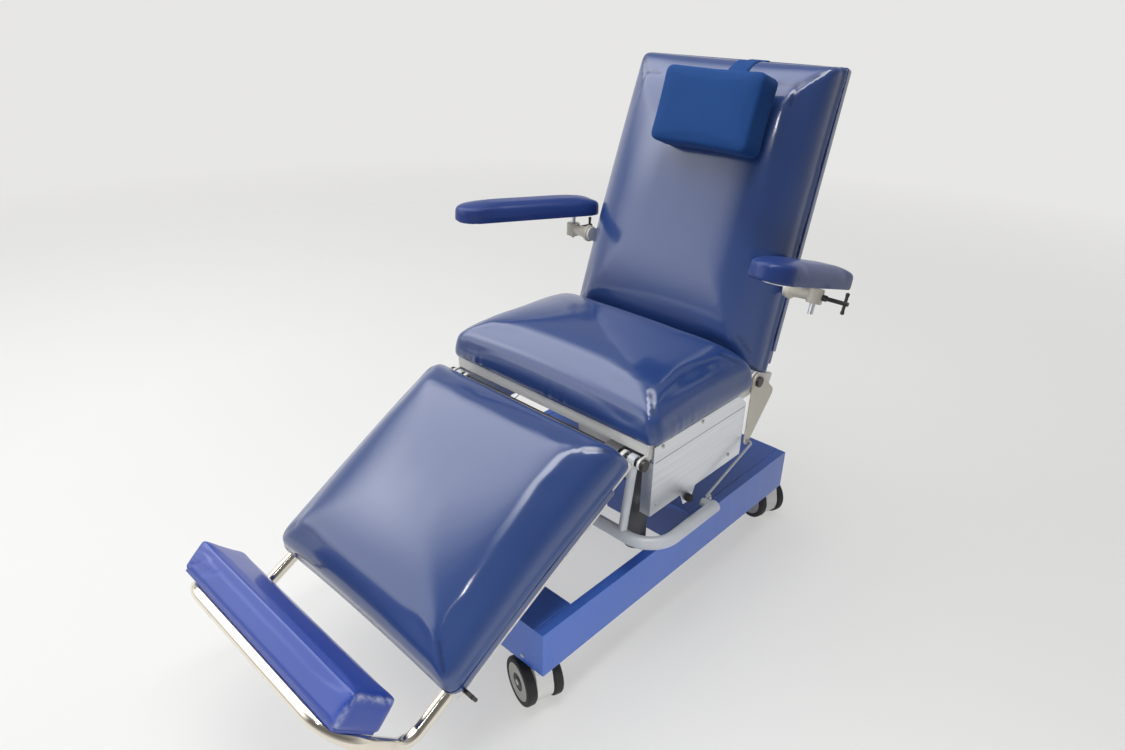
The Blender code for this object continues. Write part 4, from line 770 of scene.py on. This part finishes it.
def welt_mesh(outline, side, start, thick, side_low, end_low, least=0.0):
    """Band round an outline, open at one end, with a rounded lower edge of its own depth on sides and end."""
    spots = [(k, x, y) for k, (x, y) in enumerate(outline) if side * y > start]
    first = next(k for k in range(len(spots)) if spots[k][0] != (spots[k - 1][0] + 1) % len(outline))
    line = [(x, y) for k, x, y in spots[first:] + spots[:first]]
    inner = drawn_in(line, thick)
    inner[0] = (line[0][0] - math.copysign(thick, line[0][0]), line[0][1])
    inner[-1] = (line[-1][0] - math.copysign(thick, line[-1][0]), line[-1][1])
    end = max(side * y for x, y in line)
    points = []
    for (ox, oy), (ix, iy) in zip(line, inner):
        up_side = min((end - side * oy) / WELT_FADE, 1.0)
        low = end_low + (side_low - end_low) * up_side
        if up_side == 1.0:
            ix = math.copysign(max(abs(ix), least), ix)
        for share, up in ((0.0, WELT_TOP), (0.0, low + 0.003), (0.2, low + 0.0008), (0.5, low),
                          (0.8, low + 0.0008), (1.0, low + 0.003), (1.0, WELT_TOP)):
            points.append((ox + (ix - ox) * share, oy + (iy - oy) * share, up))
    row = 7
    faces = strips(len(line), row)
    faces.append(list(range(row))[::-1])
    faces.append([(len(line) - 1) * row + n for n in range(row)])
    return mesh_of(points, faces)


leg_welt = welt_mesh(leg_outline, -1, WELT_CLEAR - LEG_HALF[1], WELT_IN, WELT_LOW, WELT_END_LOW, FRAME_SIDE)
board_outline = soft_outline(*BACK_HALF, BOARD_CORNER, 0.0, BACK_TAPER)
back_start = BACK_WELT_CLEAR - BACK_HALF[1]
back_welt = welt_mesh(board_outline, 1, back_start, BACK_WELT_IN, -BOARD_THICK, -BOARD_THICK)
for name, welt, body, matrix in (("leg_edge", leg_welt, "leg", LEG_MATRIX),
                                 ("back_edge", back_welt, "back", BACK_MATRIX)):
    write(welt, "seam", np.zeros(len(welt.vertices)))
    welt.set_sharp_from_angle(angle=math.radians(60.0))
    link_piece(name, welt, BLUE_VINYL, body, matrix)

# Head pillow: a boxed block, so it swells little
BACK_FACE = BACK_SEAT - sum(BACK_RISES)
PILLOW_HALF = (0.124, 0.082)
pillow_outline = soft_outline(*PILLOW_HALF, 0.016, 0.002, run=14)
pillow_form = stuffed(pillow_outline, side=0.054, rise=0.016, power=5.0, pinch=0.06, slack=0.001)
pillow_form = puffed(pillow_form, voxel=0.004, cap=0.0010, rim=0.006, even=4)
write(pillow_form, "seam", np.zeros(len(pillow_form.vertices)))
PILLOW_MATRIX = BACK_FRAME @ Matrix.Translation((0.056, BACK_FACE - 0.0036, 0.536)) @ UPRIGHT
cover("pillow_cover", "head_pillow", "pillow", pillow_form, NAVY_CLOTH, PILLOW_MATRIX)

# Strap over the back's top, lying on the cover in front and on the board behind
STRAP_X = 0.045
STRAP_WIDTH = 0.050
STRAP_THICK = 0.0016
STRAP_LIFT = 0.0017
FACE_UP = sum(BACK_RISES) + STRAP_LIFT
STRAP_OVER = 0.0012
strap_ups = [0.201 + 0.004 * k for k in range(22)]
strap_line = [(0.131, FACE_UP), (0.155, FACE_UP), (0.175, FACE_UP), (0.190, FACE_UP - 0.002)]
strap_line += [(y, z + STRAP_LIFT) for x, y, z in on_surface(back_form, [(STRAP_X, up) for up in strap_ups])]
strap_line += over_end(back_form, STRAP_X, strap_line[-1][1], 0.014, 10, STRAP_OVER)
strap_line += [(BACK_HALF[1] + STRAP_OVER, 0.004), (BACK_HALF[1] + STRAP_OVER, -0.006)]
strap_line += [(BACK_HALF[1] - 0.001, -BOARD_THICK - 0.0016)]
strap_line += [(0.310 - 0.012 * k, -BOARD_THICK - 0.0010) for k in range(8)]


def band_mesh(line, width, thick, across=8):
    """Woven band along a line of (y, z) points, thin, with slightly rolled edges."""
    points = []
    count = len(line)
    for k, spot in enumerate(line):
        before, after = line[max(k - 1, 0)], line[min(k + 1, count - 1)]
        dy, dz = after[0] - before[0], after[1] - before[1]
        size = math.hypot(dy, dz)
        out = (-dz / size, dy / size)
        for n in range(across + 1):
            f = 2.0 * n / across - 1.0
            roll = 0.35 * thick * f ** 8
            points.append((f * width / 2.0, spot[0] - out[0] * roll, spot[1] - out[1] * roll))
    return mesh_of(points, strips(count, across + 1, closed=False))


strap = link_piece("strap_cloth", band_mesh(strap_line, STRAP_WIDTH, STRAP_THICK), NAVY_CLOTH, "back",
                   BACK_MATRIX @ Matrix.Translation((STRAP_X, 0.0, 0.0)))
strap_body = strap.modifiers.new("thick", "SOLIDIFY")
strap_body.thickness = STRAP_THICK
strap_body.offset = 0.0
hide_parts("pillow_strap")

# Arm pads: where each stands on the back, how far its pin is raised, its tilt, its swing and its rear end
ARM_WIDTH = 0.090
ARM_LENGTH = 0.392
ARM_CORNER = 0.026
ARM_PLATE_TOP = 0.0203 + 0.004 + FIT
ARM_PADS = {
    "left": (0.350, 0.0, math.radians(16.5), math.radians(3.5), 0.094),
    "right": (-0.350, 0.018, math.radians(3.0), math.radians(-18.0), 0.060),
}
for name, (x, raised, tilt, swing, rear) in ARM_PADS.items():
    outline = nosed_outline(ARM_WIDTH, rear, rear - ARM_LENGTH, ARM_CORNER)
    form = stuffed(outline, side=0.022, rise=0.023, power=4.0, pinch=0.0, slack=0.002)
    form = puffed(form, voxel=0.004, cap=0.003, rim=0.010, even=6)
    write(form, "seam", np.zeros(len(form.vertices)))
    spot = BACK_FRAME @ Matrix.Translation((x, 0.023, 0.211)) @ Matrix.Rotation(BACK_LEAN - tilt, 4, "X")
    spot = spot @ Matrix.Translation((0.0, 0.0, raised + ARM_PLATE_TOP)) @ Matrix.Rotation(swing, 4, "Z")
    cover(f"arm_cover_{name}", f"arm_pad_{name}", f"arm_{name}", form, ARM_VINYL, spot)

# Foot pad
FOOT_HALF = (0.256, 0.050)
foot_outline = soft_outline(*FOOT_HALF, 0.008, 0.001, run=30)
foot_form = stuffed(foot_outline, side=0.052, rise=0.007, power=8.0, pinch=0.05, slack=0.001)
foot_form = puffed(foot_form, voxel=0.004, cap=0.0015, rim=0.006, even=2)
pulls = []
for k in range(4):
    pulls.append([(-0.252, -0.0500, 0.008 + 0.010 * k), (-0.215 + 0.008 * k, -0.0495, 0.020 + 0.009 * k)])
    pulls.append([(-0.246 + 0.012 * k, -0.0495, 0.004), (-0.215 + 0.020 * k, -0.0490, 0.026 + 0.004 * k)])
crease(foot_form, pulls, 0.0035, 0.0012)
write(foot_form, "seam", np.zeros(len(foot_form.vertices)))
foot_points = coords_of(foot_form)
near_end = np.abs(foot_points[:, 0] - FOOT_HALF[0])
top_edge = np.hypot(near_end, foot_points[:, 2] - 0.055)
side_edge = np.hypot(near_end, np.abs(foot_points[:, 1]) - FOOT_HALF[1])
scuff = np.maximum(np.exp(-((top_edge / 0.006) ** 2)), np.exp(-((side_edge / 0.006) ** 2)))
write(foot_form, "scuff", scuff)
FOOT_MATRIX = FOOT_FACE @ Matrix.Translation((0.0, 0.0125 + FIT + 0.006 + FIT, 0.136))
FOOT_MATRIX = FOOT_MATRIX @ Matrix.Rotation(-math.pi / 2.0, 4, "X")
cover("foot_cover", "foot_pad", "foot", foot_form, ROYAL_VINYL, FOOT_MATRIX)

# Castor wheels: rounded tyres, pale discs and dark hubs with a bolt, both wheels on one axle
WHEEL_RADIUS = 0.050
WHEEL_NEAR = 0.019
WHEEL_FAR = 0.039
TYRE_ROUND = 0.005
AXLE_RADIUS = 0.005
CASTOR_TURN = math.radians(-17.0)
RUBBER, DISC, HUB, BOLT = 0, 1, 2, 3
# A wheel's outer face, from the tyre in: share of the radius, inset and material
WHEEL_FACE = [
    (0.785, 0.0, RUBBER),
    (0.775, 0.0015, RUBBER),
    (0.765, 0.0008, DISC),
    (0.52, 0.0020, DISC),
    (0.37, 0.0014, DISC),
    (0.35, 0.0030, HUB),
    (0.22, 0.0034, HUB),
    (0.20, 0.0005, HUB),
    (0.12, 0.0, HUB),
    (0.11, -0.0008, BOLT),
    (0.0, -0.0010, BOLT),
]


def wheel_profile():
    half = [(AXLE_RADIUS, 0.0, BOLT), (AXLE_RADIUS, WHEEL_NEAR, BOLT), (0.020, WHEEL_NEAR, DISC)]
    half.append((WHEEL_RADIUS - TYRE_ROUND, WHEEL_NEAR, RUBBER))
    middle = (WHEEL_NEAR + WHEEL_FAR) / 2.0
    flat = (WHEEL_FAR - WHEEL_NEAR) / 2.0 - TYRE_ROUND
    for k in range(1, 13):
        t = -math.pi / 2.0 + math.pi * k / 12.0
        height = middle + math.copysign(flat, math.sin(t)) + TYRE_ROUND * math.sin(t)
        half.append((WHEEL_RADIUS - TYRE_ROUND + TYRE_ROUND * math.cos(t), height, RUBBER))
    half += [(WHEEL_RADIUS * share, WHEEL_FAR - inset, look) for share, inset, look in WHEEL_FACE]
    looks = [BOLT] + [look for r, h, look in half[1:]][::-1]
    below = [(r, -h, look) for (r, h, x), look in zip(half[:0:-1], looks)]
    return below + half


for corner in ("fl", "fr", "rl", "rr"):
    low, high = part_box(f"castor_{corner}_wheels")
    middle = (low + high) / 2.0
    wheels = spun(wheel_profile())
    for look in (BLACK_RUBBER, DISC_PLASTIC, GREY_PLASTIC, ZINC):
        wheels.materials.append(look.material)
    turn = Matrix.Rotation(CASTOR_TURN, 4, "Z") @ Matrix.Rotation(-math.pi / 2.0, 4, "X")
    piece = link_piece(f"wheels_{corner}", wheels, None, f"castor_{corner}_wheels",
                       Matrix.Translation(middle - ZERO) @ turn)
    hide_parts(f"castor_{corner}_wheels")

# Foot tube, swept finely along the CAD route
RECEIVER_X = 0.252
FOOT_INSERT = 0.250
FOOT_RISE = 0.174
FOOT_TUBE_RADIUS = 0.0125
FOOT_BENDS = (0.045, 0.075, 0.075, 0.045)


def rounded_path(corners, radii, steps=12):
    path = [Vector(corners[0])]
    for before, corner, after, radius in zip(corners, corners[1:], corners[2:], radii):
        corner = Vector(corner)
        into = (corner - Vector(before)).normalized()
        out = (Vector(after) - corner).normalized()
        angle = into.angle(out)
        start = corner - into * radius * math.tan(angle / 2.0)
        centre = start + (out - into * into.dot(out)).normalized() * radius
        axis = into.cross(out).normalized()
        for k in range(steps + 1):
            path.append(centre + Matrix.Rotation(angle * k / steps, 3, axis) @ (start - centre))
    path.append(Vector(corners[-1]))
    return path


def swept(path, radius, count=28):
    """Round bar along a path, its ring carried along without twist, ends closed."""
    points = []
    side = None
    for k, spot in enumerate(path):
        along = (path[min(k + 1, len(path) - 1)] - path[max(k - 1, 0)]).normalized()
        side = along.orthogonal() if side is None else side - along * side.dot(along)
        side = side.normalized()
        other = along.cross(side)
        for n in range(count):
            t = 2.0 * math.pi * n / count
            points.append(spot + (side * math.cos(t) + other * math.sin(t)) * radius)
    faces = strips(len(path), count)
    faces.append(list(range(count))[::-1])
    faces.append([(len(path) - 1) * count + n for n in range(count)])
    mesh = mesh_of(points, faces)
    mesh.set_sharp_from_angle(angle=math.radians(50.0))
    return mesh


TOP_Y = -FOOT_RISE * math.sin(FOOT_TILT)
TOP_Z = FOOT_RISE * math.cos(FOOT_TILT)
foot_path = rounded_path(
    [
        (RECEIVER_X, FOOT_BEND - FOOT_INSERT, 0.0),
        (RECEIVER_X, 0.0, 0.0),
        (RECEIVER_X, TOP_Y, TOP_Z),
        (-RECEIVER_X, TOP_Y, TOP_Z),
        (-RECEIVER_X, 0.0, 0.0),
        (-RECEIVER_X, FOOT_BEND - FOOT_INSERT, 0.0),
    ],
    FOOT_BENDS,
)
tube = link_piece("foot_tube_fine", swept(foot_path, FOOT_TUBE_RADIUS), CHROME, "foot", FOOT_FRAME)
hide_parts("foot_tube")


def joined(meshes):
    shape = bmesh.new()
    for mesh in meshes:
        shape.from_mesh(mesh)
    made = bpy.data.meshes.new("joined")
    shape.to_mesh(made)
    shape.free()
    made.set_sharp_from_angle(angle=math.radians(40.0))
    return made


# Release bar, with its uprights, eyes on the leg shaft and a bored tab for each rod
BAR_HALF = 0.338
BAR_DROP = 0.163
BAR_FRONT = -0.023
BAR_REAR = 0.182
BAR_END = BAR_REAR + 0.006
BAR_RADIUS = 0.0135
BAR_CORNER = 0.065
UPRIGHT_X = 0.258
UPRIGHT_RADIUS = 0.009
EYE_RADIUS = 0.0135
EYE_HALF = 0.0085
SHAFT_HOLE = 0.0086
TAB_X = 0.310
TAB_SHEET = 0.004
TAB_PIN = 0.022
TAB_HOLE = 0.0031


def ring_mesh(outer, inner, half, ease=0.0012, count=36):
    """Eased ring round X, closed on itself."""
    profile = [
        (inner, half - ease),
        (inner + ease, half),
        (outer - ease, half),
        (outer, half - ease),
        (outer, ease - half),
        (outer - ease, -half),
        (inner + ease, -half),
        (inner, ease - half),
    ]
    points = []
    for k in range(count):
        t = 2.0 * math.pi * k / count
        points += [(x, r * math.cos(t), r * math.sin(t)) for r, x in profile]
    rows = len(profile)
    faces = []
    for k in range(count):
        n = (k + 1) % count
        for r in range(rows):
            q = (r + 1) % rows
            faces.append([k * rows + r, k * rows + q, n * rows + q, n * rows + r])
    return mesh_of(points, faces)


def placed(mesh, spot):
    mesh.transform(Matrix.Translation(spot))
    return mesh


bar_line = rounded_path(
    [
        (BAR_HALF, BAR_END, -BAR_DROP),
        (BAR_HALF, BAR_FRONT, -BAR_DROP),
        (-BAR_HALF, BAR_FRONT, -BAR_DROP),
        (-BAR_HALF, BAR_END, -BAR_DROP),
    ],
    (BAR_CORNER, BAR_CORNER),
)
bar_parts = [swept(bar_line, BAR_RADIUS, 32)]
for side in (1, -1):
    upright_line = [Vector((side * UPRIGHT_X, 0.0, -0.012)), Vector((side * UPRIGHT_X, BAR_FRONT, -BAR_DROP))]
    bar_parts.append(swept(upright_line, UPRIGHT_RADIUS, 24))
    bar_parts.append(placed(ring_mesh(EYE_RADIUS, SHAFT_HOLE, EYE_HALF), (side * UPRIGHT_X, 0.0, 0.0)))
    boss_line = [Vector((side * TAB_X, BAR_REAR, -BAR_DROP)), Vector((side * BAR_HALF, BAR_REAR, -BAR_DROP))]
    bar_parts.append(swept(boss_line, UPRIGHT_RADIUS, 24))
    tab_x = side * (TAB_X + TAB_SHEET / 2.0)
    tab_eye = ring_mesh(0.0078, TAB_HOLE, TAB_SHEET / 2.0, 0.0005)
    bar_parts.append(placed(tab_eye, (tab_x, BAR_REAR + TAB_PIN, -BAR_DROP)))
    neck_line = [Vector((tab_x, BAR_REAR, -BAR_DROP)), Vector((tab_x, BAR_REAR + TAB_PIN - 0.005, -BAR_DROP))]
    neck = swept(neck_line, 0.0055, 16)
    neck.transform(Matrix.Translation((tab_x, 0.0, 0.0)) @ Matrix.Diagonal((0.36, 1.0, 1.0, 1.0))
                   @ Matrix.Translation((-tab_x, 0.0, 0.0)))
    bar_parts.append(neck)
bar = link_piece("release_bar_fine", joined(bar_parts), GREY_PAINT, "release_bar",
                 Matrix.Translation(LEG_PIVOT))
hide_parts("release_bar")


# Screws: domed heads with a cross slot, one mesh shared by all
def screw_mesh(radius=0.0045, rise=0.0022, count=24):
    shares = [(0.0, 0.0), (1.0, 0.0), (1.0, 0.25), (0.93, 0.55), (0.72, 0.85), (0.55, 0.95)]
    shares += [(0.30, 0.98), (0.10, 0.45), (0.0, 0.40)]
    head = spun([(out * radius, up * rise, 0) for out, up in shares], count)
    points = coords_of(head)
    angle = np.arctan2(points[:, 1], points[:, 0])
    out = np.hypot(points[:, 0], points[:, 1])
    slot = (np.abs(np.sin(2.0 * angle)) < 0.35) & (out < 0.6 * radius) & (points[:, 2] > 0.5 * rise)
    points[slot, 2] -= 0.45 * rise
    head.vertices.foreach_set("co", points.ravel())
    head.update()
    head.materials.append(ZINC.material)
    return head


SCREW = screw_mesh()
PANEL_OUT = 0.2877
BEAM_SCREW = Vector((0.236, -0.437, 0.118))
PANEL_SCREWS = [(-0.105, -0.016), (0.030, -0.016), (-0.112, -0.150), (0.150, -0.150)]

for name, side in (("left", 1), ("right", -1)):
    face = Matrix.Rotation(side * math.pi / 2.0, 4, "Y")
    for k, (y, z) in enumerate(PANEL_SCREWS):
        spot = Matrix.Translation((side * PANEL_OUT, y, SEAT_TOP + z)) @ face
        link_piece(f"panel_screw_{name}_{k}", SCREW, None, "carriage", spot)
    front = Matrix.Rotation(math.pi / 2.0, 4, "X")
    spot = Matrix.Translation((side * BEAM_SCREW.x, BEAM_SCREW.y, BEAM_SCREW.z)) @ front
    link_piece(f"beam_screw_{name}", SCREW, None, "base", spot)
    bead = swept([Vector((0.0, -0.128, 0.0)), Vector((0.0, 0.196, 0.0))], 0.0011, 10)
    spot = Matrix.Translation((side * PANEL_OUT, 0.0, SEAT_TOP - 0.046))
    link_piece(f"panel_bead_{name}", bead, BRUSHED_STEEL, "carriage", spot)

# Floor, light and world
FLOOR_RADIUS = 9.0
PALE_LIGHT = (1.0, 0.995, 0.98, 1.0)
FLOOR_CLEAR = (1.6, 5.0)
FLOOR_GLOW = 0.46
FLOOR = Surface("floor", (0.38, 0.38, 0.375), 0.50)
FLOOR.tint(FLOOR.band(FLOOR.noise(1.5, 2.0), 0.35, 0.70, 0.4), (0.40, 0.40, 0.395))
spot = FLOOR.node("ShaderNodeTexCoord")
away = FLOOR.node("ShaderNodeVectorMath", operation="LENGTH")
FLOOR.join(spot.outputs["Object"], away.inputs[0])
clear = FLOOR.node("ShaderNodeBsdfTransparent")
fade = FLOOR.node("ShaderNodeMixShader")
FLOOR.join(FLOOR.band(away.outputs["Value"], *FLOOR_CLEAR), fade.inputs["Fac"])
glow = FLOOR.node("ShaderNodeEmission", {"Color": PALE_LIGHT})
rays = FLOOR.node("ShaderNodeLightPath")
shown = FLOOR.times(rays.outputs["Is Camera Ray"], rays.outputs["Is Glossy Ray"], "MAXIMUM")
shown = FLOOR.times(shown, rays.outputs["Is Transmission Ray"], "MAXIMUM")
FLOOR.join(FLOOR.band(shown, 0.0, 1.0, FLOOR_GLOW), glow.inputs["Strength"])
lifted = FLOOR.node("ShaderNodeAddShader")
FLOOR.join(FLOOR.shader.outputs[0], lifted.inputs[0])
FLOOR.join(glow.outputs[0], lifted.inputs[1])
FLOOR.join(lifted.outputs[0], fade.inputs[1])
FLOOR.join(clear.outputs[0], fade.inputs[2])
FLOOR.join(fade.outputs[0], FLOOR.tree.nodes["Material Output"].inputs["Surface"])
shape = bmesh.new()
bmesh.ops.create_circle(shape, cap_ends=True, segments=64, radius=FLOOR_RADIUS)
floor_mesh = bpy.data.meshes.new("floor")
shape.to_mesh(floor_mesh)
shape.free()
floor_mesh.materials.append(FLOOR.material)
floor = bpy.data.objects.new("floor", floor_mesh)
floor.location = (0.0, 0.0, -0.0005)
bpy.context.scene.collection.objects.link(floor)


SOFT_EDGE = 0.30


def area_light(name, spot, target, width, height, power):
    """Soft box: its light fades to nothing toward its edges."""
    data = bpy.data.lights.new(name, "AREA")
    data.shape = "RECTANGLE"
    data.size = width
    data.size_y = height
    data.energy = power
    item = bpy.data.objects.new(name, data)
    bpy.context.scene.collection.objects.link(item)
    item.location = spot
    item.rotation_euler = (Vector(target) - Vector(spot)).to_track_quat("-Z", "Y").to_euler()
    data.use_nodes = True
    tree = data.node_tree
    link = tree.links.new
    parts = add_node(tree, "ShaderNodeSeparateXYZ")
    link(add_node(tree, "ShaderNodeNewGeometry").outputs["Parametric"], parts.inputs[0])
    both = add_node(tree, "ShaderNodeMath", operation="MULTIPLY")
    for k, side in enumerate(("X", "Y")):
        share = add_node(tree, "ShaderNodeMath", {1: 0.5}, operation="PINGPONG")
        link(parts.outputs[side], share.inputs[0])
        soft = add_node(tree, "ShaderNodeMapRange", {"From Max": SOFT_EDGE}, interpolation_type="SMOOTHSTEP")
        link(share.outputs[0], soft.inputs["Value"])
        link(soft.outputs["Result"], both.inputs[k])
    link(both.outputs[0], tree.nodes["Emission"].inputs["Strength"])
    return item


area_light("top", (-2.1, -0.5, 3.2), (-0.5, -0.1, 0.4), 5.0, 5.8, 220.0)
area_light("front", (-1.9, -2.3, 1.6), (0.0, 0.2, 0.7), 4.2, 2.8, 50.0)
area_light("strip", (0.50, -0.1, 3.1), (0.50, -0.1, 0.0), 0.9, 3.8, 64.0)
low_side = area_light("low_side", (1.75, -1.0, 0.35), (0.0, 0.1, 0.14), 2.0, 0.6, 6.5)
low_side.data.spread = math.radians(70.0)
low_side.visible_glossy = False
area_light("spark", (0.7, -1.9, 2.5), (0.0, 0.0, 0.6), 0.18, 0.18, 4.0)

# Plain studio all round: brighter behind the chair than in front, and darker above the horizon
BRIGHT_SIDE = Vector((-0.62, 0.70, 0.35)).normalized()
SEEN_DIM = 0.38
SEEN_BRIGHT = 0.80
LIT_LEVEL = 0.14
UPPER_SHARE = 0.42

world = bpy.data.worlds.new("studio")
world.use_nodes = True
tree = world.node_tree
link = tree.links.new
spot = add_node(tree, "ShaderNodeTexCoord")
facing = add_node(tree, "ShaderNodeVectorMath", {1: BRIGHT_SIDE}, operation="DOT_PRODUCT")
link(spot.outputs["Generated"], facing.inputs[0])
side_range = {"From Min": -0.5, "From Max": 0.55, "To Min": SEEN_DIM, "To Max": SEEN_BRIGHT}
level = add_node(tree, "ShaderNodeMapRange", side_range, interpolation_type="SMOOTHSTEP")
link(facing.outputs["Value"], level.inputs["Value"])
height = add_node(tree, "ShaderNodeSeparateXYZ")
link(spot.outputs["Generated"], height.inputs[0])
height_range = {"From Min": 0.06, "From Max": 0.40, "To Min": 1.0, "To Max": UPPER_SHARE}
upper = add_node(tree, "ShaderNodeMapRange", height_range, interpolation_type="SMOOTHSTEP")
link(height.outputs["Z"], upper.inputs["Value"])
seen_level = add_node(tree, "ShaderNodeMath", operation="MULTIPLY")
link(level.outputs["Result"], seen_level.inputs[0])
link(upper.outputs["Result"], seen_level.inputs[1])
seen = tree.nodes["Background"]
seen.inputs["Color"].default_value = PALE_LIGHT
link(seen_level.outputs[0], seen.inputs["Strength"])
lit = add_node(tree, "ShaderNodeBackground", {"Color": (0.95, 0.97, 1.0, 1.0), "Strength": LIT_LEVEL})
rays = add_node(tree, "ShaderNodeLightPath")
camera_or_gloss = add_node(tree, "ShaderNodeMath", operation="MAXIMUM")
link(rays.outputs["Is Camera Ray"], camera_or_gloss.inputs[0])
link(rays.outputs["Is Glossy Ray"], camera_or_gloss.inputs[1])
any_seen = add_node(tree, "ShaderNodeMath", operation="MAXIMUM")
link(camera_or_gloss.outputs[0], any_seen.inputs[0])
link(rays.outputs["Is Transmission Ray"], any_seen.inputs[1])
mix = add_node(tree, "ShaderNodeMixShader")
link(any_seen.outputs[0], mix.inputs["Fac"])
link(lit.outputs[0], mix.inputs[1])
link(seen.outputs[0], mix.inputs[2])
link(mix.outputs[0], tree.nodes["World Output"].inputs["Surface"])
bpy.context.scene.world = world
bpy.context.scene.view_settings.view_transform = "Standard"

bpy.context.view_layer.update()
